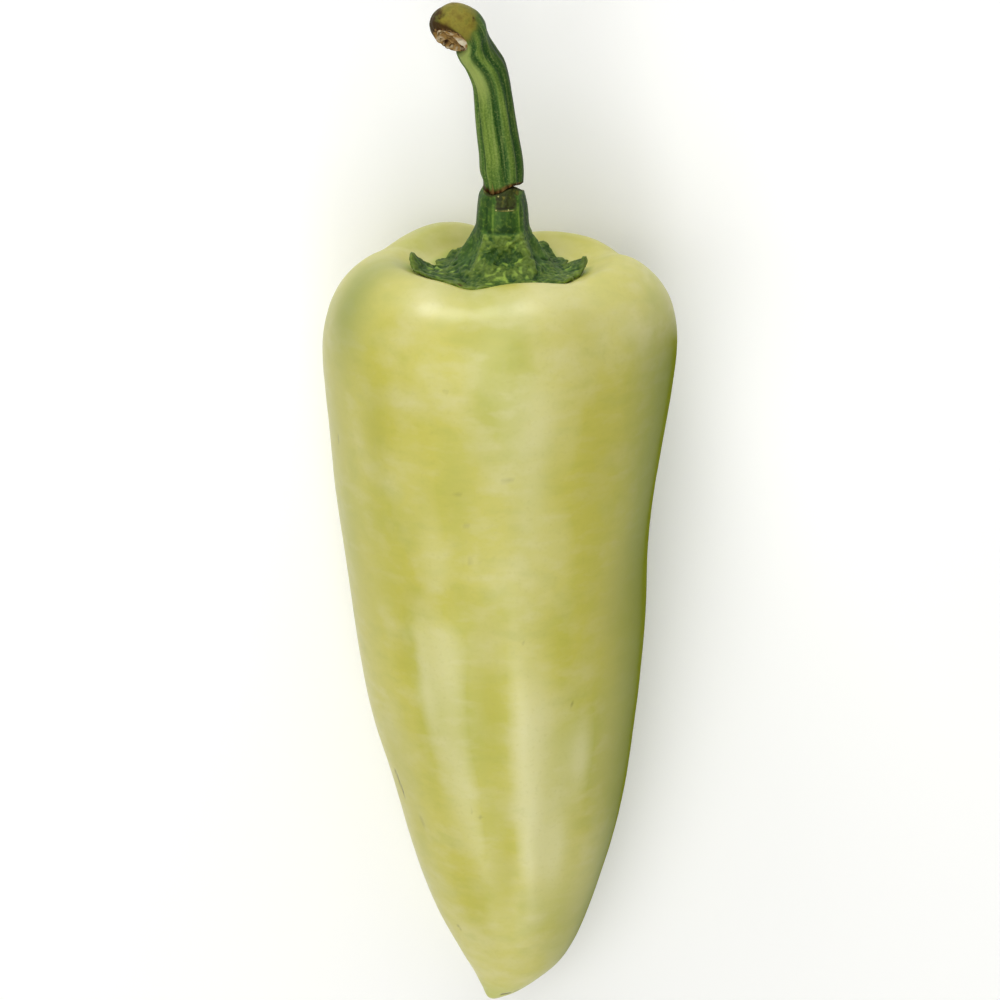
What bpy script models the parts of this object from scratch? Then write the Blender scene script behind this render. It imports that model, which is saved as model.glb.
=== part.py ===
"""A caribe pepper lying on its side: the pale fruit, its calyx and its snapped stalk.

Each piece is shaped about the fruit's own axis, in millimetres, as (across, height, front):
across runs to the right, height runs from the tip to the stalk, and front points up from the
surface that the pepper lies on. lay_down turns that into the world, in metres with +Z up.
Angles about the axis are in degrees: 0 is right, 90 is front, 180 is left, 270 is underneath.
"""

import math

import bmesh
import bpy

MILLIMETRE = 0.001
COLLECTION = "caribe_pepper"

# How the pepper lies: its axis rises to the stalk, because the fruit is thickest at the shoulder.
# The origin is on the floor, under the middle of the whole pepper.
AXIS_RISE_DEGREES = 5.8
MIDDLE_ACROSS = -0.05
MIDDLE_HEIGHT = 62.45
MIDDLE_ABOVE_FLOOR = 17.07
FLAT_SOFTNESS = 0.3

# Fruit: radius and height, from the hollow under the calyx, over the shoulder, to the tip
MERIDIAN = (
    (0.0, 93.0),
    (4.5, 93.0),
    (7.8, 93.1),
    (9.8, 93.5),
    (11.3, 94.3),
    (13.0, 94.9),
    (15.0, 94.6),
    (17.0, 93.4),
    (18.7, 91.5),
    (20.0, 88.6),
    (20.6, 84.5),
    (20.3, 79.0),
    (19.3, 70.0),
    (18.2, 60.0),
    (17.4, 50.0),
    (16.2, 40.0),
    (14.3, 30.5),
    (12.0, 21.0),
    (9.4, 13.0),
    (6.7, 7.2),
    (4.15, 3.6),
    (1.8, 1.0),
    (0.0, 0.0),
)
CREST_ROW = 5
CREST_RADIUS = MERIDIAN[CREST_ROW][0]
HOLLOW_RADIUS = 8.0
FRONT_FLATTENING = 0.04
# Height, and how far the axis is bowed across there
AXIS_BOW = (
    (0.0, -0.9),
    (2.0, 0.45),
    (6.0, 1.65),
    (13.0, 1.6),
    (27.0, 1.3),
    (40.0, 0.5),
    (50.0, 0.0),
    (65.0, -0.55),
    (80.0, -0.25),
    (95.0, 0.25),
)
# Furrows between the lobes: angle, half width in degrees, depth at the rim, at the shoulder and
# on the flank, and the height at which each has run out
FURROWS = (
    (334.0, 15.0, 1.0, 1.0, 0.45, 40.0),
    (272.0, 17.0, 0.9, 0.7, 0.1, 72.0),
    (209.5, 15.0, 0.6, 0.45, 0.15, 60.0),
    (107.0, 13.0, 0.75, 0.45, 0.15, 62.0),
    (52.0, 15.0, 0.45, 0.4, 0.15, 55.0),
)
FURROW_RUN_OUT = 20.0
# Lobes that stand out: angle, half width in degrees, lift of the rim, bulge of the shoulder
LOBES = (
    (240.0, 24.0, 1.05, 0.0),
    (304.0, 18.0, -0.1, 0.0),
    (80.0, 22.0, 0.35, 0.0),
    (165.0, 35.0, 0.0, 0.1),
    (8.0, 22.0, -0.1, 0.35),
)
# Long ridges and hollows of the front wall: angle, half width in degrees, rise, lowest and
# highest height
WALL_RIDGES = (
    (96.0, 7.0, -0.45, 10.0, 62.0),
    (113.0, 9.0, 0.22, 20.0, 72.0),
    (80.0, 9.0, 0.22, 8.0, 58.0),
    (128.0, 8.0, -0.22, 46.0, 54.0),
    (35.0, 14.0, -0.25, 22.0, 70.0),
    (150.0, 12.0, -0.2, 14.0, 45.0),
)
RIDGE_END = 0.3
# Slow waves of the wall: their height, how many go round, and their turns and phase up the wall
UNEVENNESS = 0.12
WAVES_ROUND = 3.0
WAVE_SPIRAL = 0.11
WAVE_RATE = 0.17
WAVE_PHASE = 1.3
# Heights between which each effect fades in, from none to full
RIM_LIFT_FADE = (80.0, 95.0)
SHOULDER_TOP_FADE = (94.6, 90.0)
SHOULDER_FOOT_FADE = (72.0, 89.0)
FLANK_TOP_FADE = (88.0, 76.0)
UNEVEN_TOP_FADE = (93.0, 84.0)
UNEVEN_FOOT_FADE = (0.0, 12.0)

# Calyx: radius and height of its outside, from the crack down the neck and out along the disc
CALYX_ACROSS = 0.25
CALYX_OUTSIDE = (
    (2.55, 102.9),
    (2.68, 102.2),
    (2.86, 101.2),
    (2.98, 100.1),
    (3.06, 99.0),
    (3.25, 98.0),
    (3.6, 97.0),
    (4.1, 96.0),
    (4.75, 95.2),
    (5.7, 94.5),
    (7.1, 94.1),
    (8.6, 94.0),
)
NECK_RADIUS = CALYX_OUTSIDE[0][0]
DISC_RADIUS = CALYX_OUTSIDE[-1][0]
FLARE_RADIUS = 4.8
DISC_FORWARD = 0.5
CALYX_MARGIN = 8.5
CALYX_THICKNESS = 0.55
SKIN_GAP = 0.33
# Blunt points of the calyx: angle, half width in degrees, reach past the margin, curl
CALYX_POINTS = (
    (10.0, 25.0, 1.45, 1.1),
    (56.0, 17.0, 0.6, 0.1),
    (110.0, 24.0, 0.75, 0.0),
    (169.0, 25.0, 1.9, 1.2),
    (236.0, 18.0, 0.3, 0.3),
    (303.0, 14.0, 0.9, 0.55),
)
CURL_FROM = 0.74
CURL_NARROWING = 0.7
UNDERSIDE_CURL = 0.3
# Crinkles of the margin and crumples of the disc: their height, how many go round, their phase in
# degrees, and how fast the crumples follow one another outwards
MARGIN_CRINKLE = 0.12
CRINKLES_ROUND = 11.0
CRINKLE_PHASE = 40.0
CRUMPLE = 0.16
CRUMPLES_ROUND = 9.0
CRUMPLE_PHASE = 50.0
CRUMPLE_RATE = 1.4
# Heights and radii between which the calyx's effects fade in, from none to full
NECK_WAVE_FADE = (100.0, 103.0)
FLARE_TOP_FADE = (99.0, 95.8)
LYING_FADE = (4.8, 7.0)
CRUMPLE_FADE = (4.3, 5.8)
# Spacing of the underside's rings: below 1 they crowd together near the margin
UNDERSIDE_SPACING = 0.7
# Ridges that run down the flare to the points: their angles, half width in degrees and height
FLARE_RIDGE_ANGLES = (0.0, 48.0, 118.0, 180.0, 238.0, 303.0)
FLARE_RIDGE_HALF_WIDTH = 15.0
FLARE_RIDGE = 0.9
FLARE_RIDGE_MIDDLE = 0.45

# Crack across the stalk: its height and its waves as angle, half width in degrees, rise
CRACK_HEIGHT = 103.1
CRACK_GAP = 0.42
CRACK_WAVES = (
    (62.0, 22.0, 0.45),
    (128.0, 28.0, -0.5),
    (186.0, 18.0, 0.55),
)
# The crack gapes on the right by a height and is pinched in on the left by a share of the radius:
# angle, half width, size; and how far out, as a share of the radius, the gape opens
NOTCH = (0.0, 26.0, 0.3)
NOTCH_FADE = (0.5, 1.0)
PINCH = (186.0, 40.0, 0.15)

# Stalk: left edge, right edge, half depth, lean of the ring in degrees, how far it stands forward
STALK_RINGS = (
    (-1.95, 103.9, 2.75, 103.9, 2.35, 0.0, 0.0),
    (-2.35, 105.2, 2.8, 105.2, 2.5, 0.0, 0.0),
    (-2.45, 107.0, 2.65, 107.0, 2.55, 0.0, 0.0),
    (-2.7, 109.4, 2.25, 109.4, 2.5, 0.0, 0.0),
    (-2.9, 111.7, 1.85, 111.9, 2.4, 1.0, 0.0),
    (-3.0, 113.4, 1.55, 114.0, 2.3, 4.0, 0.0),
    (-3.2, 115.2, 1.2, 116.0, 2.25, 8.0, 0.0),
    (-3.9, 117.0, 0.65, 117.9, 2.35, 12.0, 0.0),
    (-4.6, 118.1, -0.25, 119.3, 2.45, 15.0, 0.0),
    (-4.65, 118.6, -1.0, 120.5, 2.6, 17.0, 0.05),
    (-4.55, 118.85, -1.45, 121.6, 2.7, 19.0, 0.1),
    (-4.45, 119.0, -1.8, 122.8, 2.8, 20.5, 0.2),
    (-4.45, 119.08, -2.85, 124.1, 2.85, 22.0, 0.3),
    (-4.47, 119.1, -5.0, 124.95, 2.85, 23.5, 0.4),
    (-4.5, 119.08, -7.1, 124.15, 2.8, 25.0, 0.45),
    (-4.53, 119.04, -7.8, 122.9, 2.65, 26.5, 0.5),
    (-4.56, 119.0, -7.85, 121.6, 2.4, 28.0, 0.5),
)
# Furrows between the stalk's ribs: angle, half width in degrees
STALK_FURROWS = (
    (-10.0, 12.0),
    (39.0, 11.0),
    (83.0, 13.0),
    (140.0, 9.0),
    (195.0, 12.0),
    (250.0, 13.0),
    (300.0, 12.0),
)
STALK_FURROW_DEPTH = 0.13
STALK_TWIST_DEGREES = 22.0
STALK_TWIST_FADE = (110.0, 118.5)
RIB_TOP_FADE = (122.0, 118.0)
RIB_FOOT_FADE = (103.0, 104.5)
CRACK_WAVE_FADE = (105.5, 103.5)
# Torn end: how far it bulges, and by how much and how many times round its splinters vary that
TORN_DEPTH = 0.5
SPLINTER_DEPTH = 0.2
SPLINTERS_ROUND = 5.0

# Mesh counts: segments round the axis, rings from end to end
FRUIT_MESH = (60, 66)
CALYX_MESH = (66, 30)
STALK_MESH = (28, 56)
# Rings that cover the crack, the calyx's outside and the torn end
CRACK_RINGS = 3
CALYX_OUTSIDE_RINGS = 19
TORN_RINGS = 4
# Halvings of the search for the meridian's place at a radius
HALVINGS = 24


def curve(rows, at):
    """The values at a place along a smooth curve: each row is its place, then its values."""
    last = len(rows) - 1
    step = 0
    while step < last - 1 and at > rows[step + 1][0]:
        step += 1
    before = rows[max(step - 1, 0)]
    start = rows[step]
    end = rows[step + 1]
    after = rows[min(step + 2, last)]
    span = end[0] - start[0]
    share = min(max((at - start[0]) / span, 0.0), 1.0)
    values = []
    for column in range(1, len(start)):
        start_slope = (end[column] - before[column]) / (end[0] - before[0])
        end_slope = (after[column] - start[column]) / (after[0] - start[0])
        rise = end[column] - start[column]
        bend_in = (start_slope * span - rise) * (1.0 - share)
        bend_out = (rise - end_slope * span) * share
        values.append(start[column] + rise * share + share * (1.0 - share) * (bend_in + bend_out))
    return values


def numbered(rows):
    """The rows with their own numbers as places."""
    return [(number, *row) for number, row in enumerate(rows)]


def mirrored_ends(rows):
    """Numbered (radius, height) rows, run on past the axis at both ends so that they end flat."""
    first = (-rows[1][0], *rows[1][1:])
    last = (-rows[-2][0], *rows[-2][1:])
    return [(number - 1, *row) for number, row in enumerate((first, *rows, last))]


def ease(low, high, value):
    """0 at low, 1 at high, held beyond them and smooth between; low may be the larger."""
    share = min(max((value - low) / (high - low), 0.0), 1.0)
    return share * share * (3.0 - 2.0 * share)


def turn_between(angle, centre):
    """The turn from the centre angle to another, from -180 to 180 degrees."""
    return (angle - centre + 180.0) % 360.0 - 180.0


def swell(angle, centre, half_width):
    """1 at the centre angle, falling off smoothly on both sides of it."""
    return math.exp(-((turn_between(angle, centre) / half_width) ** 2))


def plateau(angle, centre, half_width):
    """1 in a blunt stretch round the centre angle, falling off quickly at its two ends."""
    return math.exp(-((turn_between(angle, centre) / half_width) ** 4))


def rim_lift(angle):
    """How much higher or lower than the meridian the rim of the shoulder stands."""
    lobes = sum(lift * swell(angle, centre, width) for centre, width, lift, _ in LOBES)
    furrows = sum(rim * swell(angle, centre, width) for centre, width, rim, _, _, _ in FURROWS)
    return lobes - furrows


def shoulder_rise(angle):
    """How far the shoulder stands out of the meridian."""
    lobes = sum(bulge * swell(angle, centre, width) for centre, width, _, bulge in LOBES)
    furrows = sum(depth * swell(angle, centre, width) for centre, width, _, depth, _, _ in FURROWS)
    return lobes - furrows


def wall_rise(angle, height):
    """How far the wall below the shoulder stands out of the meridian."""
    rise = 0.0
    for centre, half_width, _, _, depth, run_out in FURROWS:
        along = ease(run_out, run_out + FURROW_RUN_OUT, height) * ease(*FLANK_TOP_FADE, height)
        rise -= depth * along * swell(angle, centre, half_width)
    for centre, half_width, ridge, lowest, highest in WALL_RIDGES:
        fade = RIDGE_END * (highest - lowest)
        along = ease(lowest, lowest + fade, height) * ease(highest, highest - fade, height)
        rise += ridge * along * swell(angle, centre, half_width)
    round_wave = math.sin(WAVES_ROUND * math.radians(angle) + WAVE_SPIRAL * height)
    waves = UNEVENNESS * round_wave * math.sin(WAVE_RATE * height + WAVE_PHASE)
    return rise + waves * ease(*UNEVEN_FOOT_FADE, height) * ease(*UNEVEN_TOP_FADE, height)


def fruit_point(angle, share):
    """A point of the fruit's skin: share runs from the hollow under the calyx to the tip."""
    place = share * (len(MERIDIAN) - 1)
    radius, height = curve(mirrored_ends(MERIDIAN), place)
    if place <= CREST_ROW:
        height += rim_lift(angle) * ease(HOLLOW_RADIUS, CREST_RADIUS, radius)
    else:
        height += rim_lift(angle) * ease(*RIM_LIFT_FADE, height)
        on_shoulder = ease(*SHOULDER_TOP_FADE, height) * ease(*SHOULDER_FOOT_FADE, height)
        radius += shoulder_rise(angle) * on_shoulder + wall_rise(angle, height)
    turn = math.radians(angle)
    front = radius * math.sin(turn) * (1.0 - FRONT_FLATTENING)
    return radius * math.cos(turn) + curve(AXIS_BOW, height)[0], height, front


def hollow_height(angle, radius):
    """Height of the skin in the hollow on the shoulder, at an angle and radius inside the crest."""
    rows = mirrored_ends(MERIDIAN)
    inner = 0.0
    outer = float(CREST_ROW)
    for _ in range(HALVINGS):
        place = (inner + outer) / 2.0
        if curve(rows, place)[0] < radius:
            inner = place
        else:
            outer = place
    return curve(rows, outer)[1] + rim_lift(angle) * ease(HOLLOW_RADIUS, CREST_RADIUS, radius)


def crack_height(angle, reach):
    """Height of the crack across the stalk: wavy at its edge, where reach is 1, and even inside."""
    wave = sum(rise * swell(angle, centre, width) for centre, width, rise in CRACK_WAVES)
    return CRACK_HEIGHT + wave * ease(0.0, 1.0, reach)


def calyx_bed(angle, radius, forward):
    """Height of the calyx's underside, just above the skin that it lies on."""
    across = CALYX_ACROSS + radius * math.cos(math.radians(angle)) - AXIS_BOW[-1][1]
    front = (radius * math.sin(math.radians(angle)) + forward) / (1.0 - FRONT_FLATTENING)
    return SKIN_GAP + hollow_height(math.degrees(math.atan2(front, across)), math.hypot(front, across))


def calyx_margin(angle):
    """Radius of the calyx's edge at an angle, and how far that edge curls up."""
    crinkle = MARGIN_CRINKLE * math.sin(math.radians(CRINKLES_ROUND * angle + CRINKLE_PHASE))
    margin = CALYX_MARGIN + crinkle
    curl = crinkle
    for centre, half_width, reach, rise in CALYX_POINTS:
        margin += reach * plateau(angle, centre, half_width)
        curl += rise * swell(angle, centre, CURL_NARROWING * half_width)
    return margin, curl


def calyx_point(angle, share):
    """A point of the calyx: share runs from the crack, over the outside, to under its middle."""
    margin, curl = calyx_margin(angle)
    ring = share * CALYX_MESH[1] - CRACK_RINGS
    if ring <= 0.0:
        reach = 1.0 + ring / CRACK_RINGS
        pinched = 1.0 - PINCH[2] * swell(angle, PINCH[0], PINCH[1])
        radius = NECK_RADIUS * pinched * reach
        height = crack_height(angle, reach)
        forward = 0.0
    elif ring <= CALYX_OUTSIDE_RINGS:
        place = ring / CALYX_OUTSIDE_RINGS * (len(CALYX_OUTSIDE) - 1)
        radius, height = curve(numbered(CALYX_OUTSIDE), place)
        height += (crack_height(angle, 1.0) - CRACK_HEIGHT) * ease(*NECK_WAVE_FADE, height)
        ridge = sum(swell(angle, centre, FLARE_RIDGE_HALF_WIDTH) for centre in FLARE_RIDGE_ANGLES)
        on_flare = ease(*FLARE_TOP_FADE, height) * ease(DISC_RADIUS, FLARE_RADIUS, radius)
        radius += FLARE_RIDGE * (ridge - FLARE_RIDGE_MIDDLE) * on_flare
        outward = ease(FLARE_RADIUS, DISC_RADIUS, radius)
        radius += (margin - DISC_RADIUS) * outward
        forward = DISC_FORWARD * outward
        lying = calyx_bed(angle, radius, forward) + CALYX_THICKNESS
        height += (lying - height) * ease(*LYING_FADE, radius)
        height += curl * ease(CURL_FROM, 1.0, radius / margin)
        folds = math.sin(math.radians(CRUMPLES_ROUND * angle + CRUMPLE_PHASE))
        height += CRUMPLE * folds * math.sin(CRUMPLE_RATE * radius) * ease(*CRUMPLE_FADE, radius)
    else:
        underside_ring = ring - CALYX_OUTSIDE_RINGS - 1
        inward = underside_ring / (CALYX_MESH[1] - CRACK_RINGS - CALYX_OUTSIDE_RINGS - 1)
        radius = margin * (1.0 - inward) ** UNDERSIDE_SPACING
        forward = DISC_FORWARD * ease(FLARE_RADIUS, DISC_RADIUS, radius)
        height = calyx_bed(angle, radius, forward)
        height += UNDERSIDE_CURL * curl * ease(CURL_FROM, 1.0, radius / margin)
    turn = math.radians(angle)
    return CALYX_ACROSS + radius * math.cos(turn), height, radius * math.sin(turn) + forward


def stalk_cut(angle, height):
    """How far in the furrows between the ribs cut, as a share of the radius."""
    twist = STALK_TWIST_DEGREES * ease(*STALK_TWIST_FADE, height)
    depth = sum(swell(angle - twist, centre, width) for centre, width in STALK_FURROWS)
    return STALK_FURROW_DEPTH * depth * ease(*RIB_TOP_FADE, height) * ease(*RIB_FOOT_FADE, height)


def stalk_ring(place, angle, size):
    """A point on the stalk's ring at a place along STALK_RINGS, at a share of its full size."""
    left, left_height, right, right_height, depth, lean, forward = curve(numbered(STALK_RINGS), place)
    middle_height = (left_height + right_height) / 2.0
    size *= 1.0 - stalk_cut(angle, middle_height)
    half_across = (right - left) / 2.0
    half_rise = (right_height - left_height) / 2.0
    half_width = math.hypot(half_across, half_rise)
    aside = size * math.cos(math.radians(angle))
    front = size * depth * math.sin(math.radians(angle))
    nod = front * math.sin(math.radians(lean)) / half_width
    across = (left + right) / 2.0 + aside * half_across + nod * half_rise
    height = middle_height + aside * half_rise - nod * half_across
    return across, height, front * math.cos(math.radians(lean)) + forward


def stalk_point(angle, share):
    """A point of the stalk: share runs from the crack, up the ribs and over the knob, to the tear."""
    last_place = len(STALK_RINGS) - 1
    side_rings = STALK_MESH[1] - CRACK_RINGS - TORN_RINGS
    ring = share * STALK_MESH[1] - CRACK_RINGS
    if ring <= 0.0:
        reach = 1.0 + ring / CRACK_RINGS
        across, height, front = stalk_ring(0.0, angle, reach)
        gape = NOTCH[2] * swell(angle, NOTCH[0], NOTCH[1]) * ease(*NOTCH_FADE, reach)
        height = crack_height(angle, reach) + CRACK_GAP + gape
    elif ring <= side_rings:
        across, height, front = stalk_ring(ring / side_rings * last_place, angle, 1.0)
        height += (crack_height(angle, 1.0) - CRACK_HEIGHT) * ease(*CRACK_WAVE_FADE, height)
    else:
        inward = (ring - side_rings) / TORN_RINGS
        across, height, front = stalk_ring(last_place, angle, 1.0 - inward)
        splinter = SPLINTER_DEPTH * (math.sin(math.radians(SPLINTERS_ROUND * angle)) - 1.0)
        height += TORN_DEPTH * inward * (1.0 + splinter)
    return across, height, front


def rest_on_floor(height):
    """A height above the floor, pressed softly flat where it would go below it."""
    if height >= FLAT_SOFTNESS:
        return height
    if height <= -FLAT_SOFTNESS:
        return 0.0
    return (height + FLAT_SOFTNESS) ** 2 / (4.0 * FLAT_SOFTNESS)


def lay_down(across, height, front):
    """A point about the fruit's axis in millimetres, as a world position in metres."""
    rise = math.radians(AXIS_RISE_DEGREES)
    along = height - MIDDLE_HEIGHT
    world_y = along * math.cos(rise) - front * math.sin(rise)
    world_z = along * math.sin(rise) + front * math.cos(rise) + MIDDLE_ABOVE_FLOOR
    flat_z = rest_on_floor(world_z)
    return (across - MIDDLE_ACROSS) * MILLIMETRE, world_y * MILLIMETRE, flat_z * MILLIMETRE


def make_material(name, colour, roughness):
    """A plain Principled material with a linear colour."""
    material = bpy.data.materials.new(name)
    material.use_nodes = True
    shader = material.node_tree.nodes["Principled BSDF"]
    shader.inputs["Base Color"].default_value = (*colour, 1.0)
    shader.inputs["Roughness"].default_value = roughness
    shader.inputs["Metallic"].default_value = 0.0
    return material


def make_piece(name, mesh_counts, point, material, collection):
    """One closed piece: a sphere whose points are moved to point(angle, share from pole to pole)."""
    segments, rings = mesh_counts
    ball = bmesh.new()
    bmesh.ops.create_uvsphere(ball, u_segments=segments, v_segments=rings, radius=1.0)
    for vertex in ball.verts:
        angle = math.degrees(math.atan2(vertex.co.y, vertex.co.x))
        ring = round(math.acos(min(max(vertex.co.z, -1.0), 1.0)) / math.pi * rings)
        vertex.co = lay_down(*point(angle, ring / rings))
    if ball.calc_volume(signed=True) < 0.0:
        bmesh.ops.reverse_faces(ball, faces=ball.faces)
    mesh = bpy.data.meshes.new(name)
    ball.to_mesh(mesh)
    ball.free()
    mesh.shade_smooth()
    mesh.materials.append(material)
    collection.objects.link(bpy.data.objects.new(name, mesh))


def clear_scene():
    """Remove every object that the file starts with."""
    for thing in list(bpy.data.objects):
        bpy.data.objects.remove(thing)


def main():
    """Build the whole pepper."""
    clear_scene()
    collection = bpy.data.collections.new(COLLECTION)
    bpy.context.scene.collection.children.link(collection)
    skin = make_material("pale_waxy_skin", (0.56, 0.54, 0.17), 0.38)
    green = make_material("crumpled_calyx", (0.11, 0.21, 0.04), 0.55)
    ribbed = make_material("ribbed_stalk", (0.13, 0.23, 0.04), 0.5)
    make_piece("fruit", FRUIT_MESH, fruit_point, skin, collection)
    make_piece("calyx", CALYX_MESH, calyx_point, green, collection)
    make_piece("stem", STALK_MESH, stalk_point, ribbed, collection)


main()
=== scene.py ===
"""Dresses the caribe pepper: the waxy pale fruit, its crumpled calyx and its ribbed, torn stalk.

Shapes are worked out about the fruit's own axis, in millimetres, as (across, height, front):
across runs to the right, height runs from the tip to the stalk, and front points up from the
floor that the pepper lies on. Angles about the axis are in degrees: 0 is right, 90 is front,
180 is left and 270 is underneath. LyingPose turns those places into the world, in metres.
"""

import logging
import math
import random
from collections.abc import Sequence
from dataclasses import dataclass, fields
from enum import Enum

import bmesh
import bpy
import numpy as np
from mathutils import Matrix, Vector, noise


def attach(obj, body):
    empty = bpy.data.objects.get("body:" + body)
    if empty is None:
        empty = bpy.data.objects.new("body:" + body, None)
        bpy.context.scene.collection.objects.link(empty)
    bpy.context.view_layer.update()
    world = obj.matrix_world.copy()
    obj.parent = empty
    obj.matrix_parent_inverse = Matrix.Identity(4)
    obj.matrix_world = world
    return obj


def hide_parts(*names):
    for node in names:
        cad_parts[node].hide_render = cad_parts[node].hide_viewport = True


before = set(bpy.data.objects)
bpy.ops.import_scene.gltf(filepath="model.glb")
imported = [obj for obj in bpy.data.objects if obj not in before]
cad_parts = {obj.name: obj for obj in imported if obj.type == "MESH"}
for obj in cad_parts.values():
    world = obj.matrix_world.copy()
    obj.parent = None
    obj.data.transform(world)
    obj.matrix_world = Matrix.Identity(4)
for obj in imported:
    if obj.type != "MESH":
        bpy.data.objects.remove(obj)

LOG = logging.getLogger("caribe_pepper")
MILLIMETRE = 0.001
# The marks on a piece that hold a place, where the others hold one value
VECTOR_MARKS = ("place", "grain")

Rows = Sequence[Sequence[float]]
Span = tuple[float, float]
# Where something starts and is full, then where it ends and is last full
Stretch = tuple[Span, Span]
Sockets = dict[str, bpy.types.NodeSocket]


class Slot(Enum):
    """The record's material slots, by name."""

    SKIN = "skin"
    CALYX = "calyx"
    STALK = "stalk"


def curve(rows: Rows, at: np.ndarray) -> np.ndarray:
    """Values at places along a smooth curve.

    Args:
        rows: Each row is its place along the curve, then its values there.
        at: The places to work out.

    Returns:
        The values, with the columns last.
    """
    table = np.array(rows, dtype=float)
    at = np.asarray(at, dtype=float)
    step = np.searchsorted(table[1:-1, 0], at, side="left")
    before = table[np.maximum(step - 1, 0)]
    start = table[step]
    end = table[step + 1]
    after = table[np.minimum(step + 2, len(table) - 1)]
    span = end[..., :1] - start[..., :1]
    share = np.clip((at[..., None] - start[..., :1]) / span, 0.0, 1.0)
    start_slope = (end - before)[..., 1:] / (end - before)[..., :1]
    end_slope = (after - start)[..., 1:] / (after - start)[..., :1]
    rise = (end - start)[..., 1:]
    bend_in = (start_slope * span - rise) * (1.0 - share)
    bend_out = (rise - end_slope * span) * share
    return start[..., 1:] + rise * share + share * (1.0 - share) * (bend_in + bend_out)


def numbered(rows: Rows) -> list[tuple[float, ...]]:
    """The rows with their own numbers as places."""
    return [(number, *row) for number, row in enumerate(rows)]


def mirrored_ends(rows: Rows) -> list[tuple[float, ...]]:
    """Numbered rows, run on past the axis at both ends so that they end flat.

    Args:
        rows: (radius, height) rows from one pole to the other.

    Returns:
        The rows with their numbers, and one more at each end.
    """
    first = (-rows[1][0], *rows[1][1:])
    last = (-rows[-2][0], *rows[-2][1:])
    return [(number - 1, *row) for number, row in enumerate((first, *rows, last))]


def ease(low: float, high: float, value: np.ndarray | float) -> np.ndarray:
    """0 at low, 1 at high, held beyond them and smooth between; low may be the larger."""
    share = np.clip((value - low) / (high - low), 0.0, 1.0)
    return share * share * (3.0 - 2.0 * share)


def within(stretch: Stretch, value: np.ndarray | float) -> np.ndarray:
    """1 inside a stretch of values, easing in at its start and out at its end."""
    start, end = stretch
    return ease(*start, value) * ease(*end, value)


def turn_between(angle: np.ndarray | float, centre: float) -> np.ndarray:
    """The turn from the centre angle to another, from -180 to 180 degrees."""
    return (angle - centre + 180.0) % 360.0 - 180.0


def bell(value: np.ndarray | float, middle: float, half_width: float) -> np.ndarray:
    """1 at the middle value, falling off smoothly on both sides of it."""
    return np.exp(-(((value - middle) / half_width) ** 2))


def swell(angle: np.ndarray | float, centre: float, half_width: float) -> np.ndarray:
    """1 at the centre angle, falling off smoothly on both sides of it."""
    return bell(turn_between(angle, centre), 0.0, half_width)


def plateau(angle: np.ndarray | float, centre: float, half_width: float) -> np.ndarray:
    """1 in a blunt stretch round the centre angle, falling off quickly at its two ends."""
    return np.exp(-((turn_between(angle, centre) / half_width) ** 4))


def spots(rows: Rows, angle: np.ndarray, height: np.ndarray) -> np.ndarray:
    """Soft oval spots, added up.

    Args:
        rows: Each spot's angle, height, half width in degrees, half height and amount.
        angle: Angles of the places to work out.
        height: Their heights.

    Returns:
        How much of the spots is at each place.
    """
    return sum(amount * swell(angle, at, half_width) * bell(height, middle, half_height)
               for at, middle, half_width, half_height, amount in rows)


def by_zone(zones: Sequence[np.ndarray], values: Sequence[np.ndarray | float]) -> np.ndarray:
    """Values for all points of grids laid end to end, from a value, or one a ring, for each grid."""
    return np.concatenate([np.broadcast_to(value, zone.shape[:2]) for zone, value in zip(zones, values)])


def noise_at(points: np.ndarray, grain: float, octaves: int = 3) -> np.ndarray:
    """Smooth cloudy noise, about -1 to 1.

    Args:
        points: Places in millimetres, with the three axes last. Shifted places give another pattern.
        grain: Size of the largest lumps in millimetres.
        octaves: How many finer layers are added.

    Returns:
        One value for each point.
    """
    flat = (points / grain).reshape(-1, 3).tolist()
    values = [noise.fractal(place, 1.0, 2.0, octaves) for place in flat]
    return np.array(values).reshape(points.shape[:-1])


def outward(points: np.ndarray) -> np.ndarray:
    """Unit normals of a closed grid of points, pointing out of it.

    Args:
        points: Rings of points, the first and last being poles.

    Returns:
        One normal for each point.
    """
    along = np.gradient(points, axis=0)
    around = np.roll(points, -1, axis=1) - np.roll(points, 1, axis=1)
    normals = np.cross(along, around)
    if np.sum(points * normals) < 0.0:
        normals = -normals
    normals[0] = normals[1].mean(axis=0)
    normals[-1] = normals[-2].mean(axis=0)
    return normals / np.maximum(np.linalg.norm(normals, axis=-1, keepdims=True), 1e-9)


def to_linear(colour: str) -> tuple[float, float, float, float]:
    """A colour for a shader.

    Args:
        colour: sRGB as "#rrggbb".

    Returns:
        Linear red, green, blue and an alpha of 1.
    """
    shares = [int(colour[place:place + 2], 16) / 255.0 for place in (1, 3, 5)]
    linear = [s / 12.92 if s <= 0.04045 else ((s + 0.055) / 1.055) ** 2.4 for s in shares]
    return (linear[0], linear[1], linear[2], 1.0)


def add_node(
    tree: bpy.types.NodeTree,
    kind: str,
    settings: dict[str | int, object] | None = None,
    links: dict[str | int, bpy.types.NodeSocket] | None = None,
) -> bpy.types.Node:
    """Adds a node with its settings and links.

    Args:
        tree: The material's node tree.
        kind: Blender's name for the kind of node.
        settings: Values by name, or by an input's number.
        links: Sockets that feed the node's inputs, by name or number.

    Returns:
        The new node.
    """
    node = tree.nodes.new(kind)
    for name, value in (settings or {}).items():
        if isinstance(name, str) and hasattr(node, name):
            setattr(node, name, value)
        else:
            node.inputs[name].default_value = value
    for name, source in (links or {}).items():
        tree.links.new(source, node.inputs[name])
    return node


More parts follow.
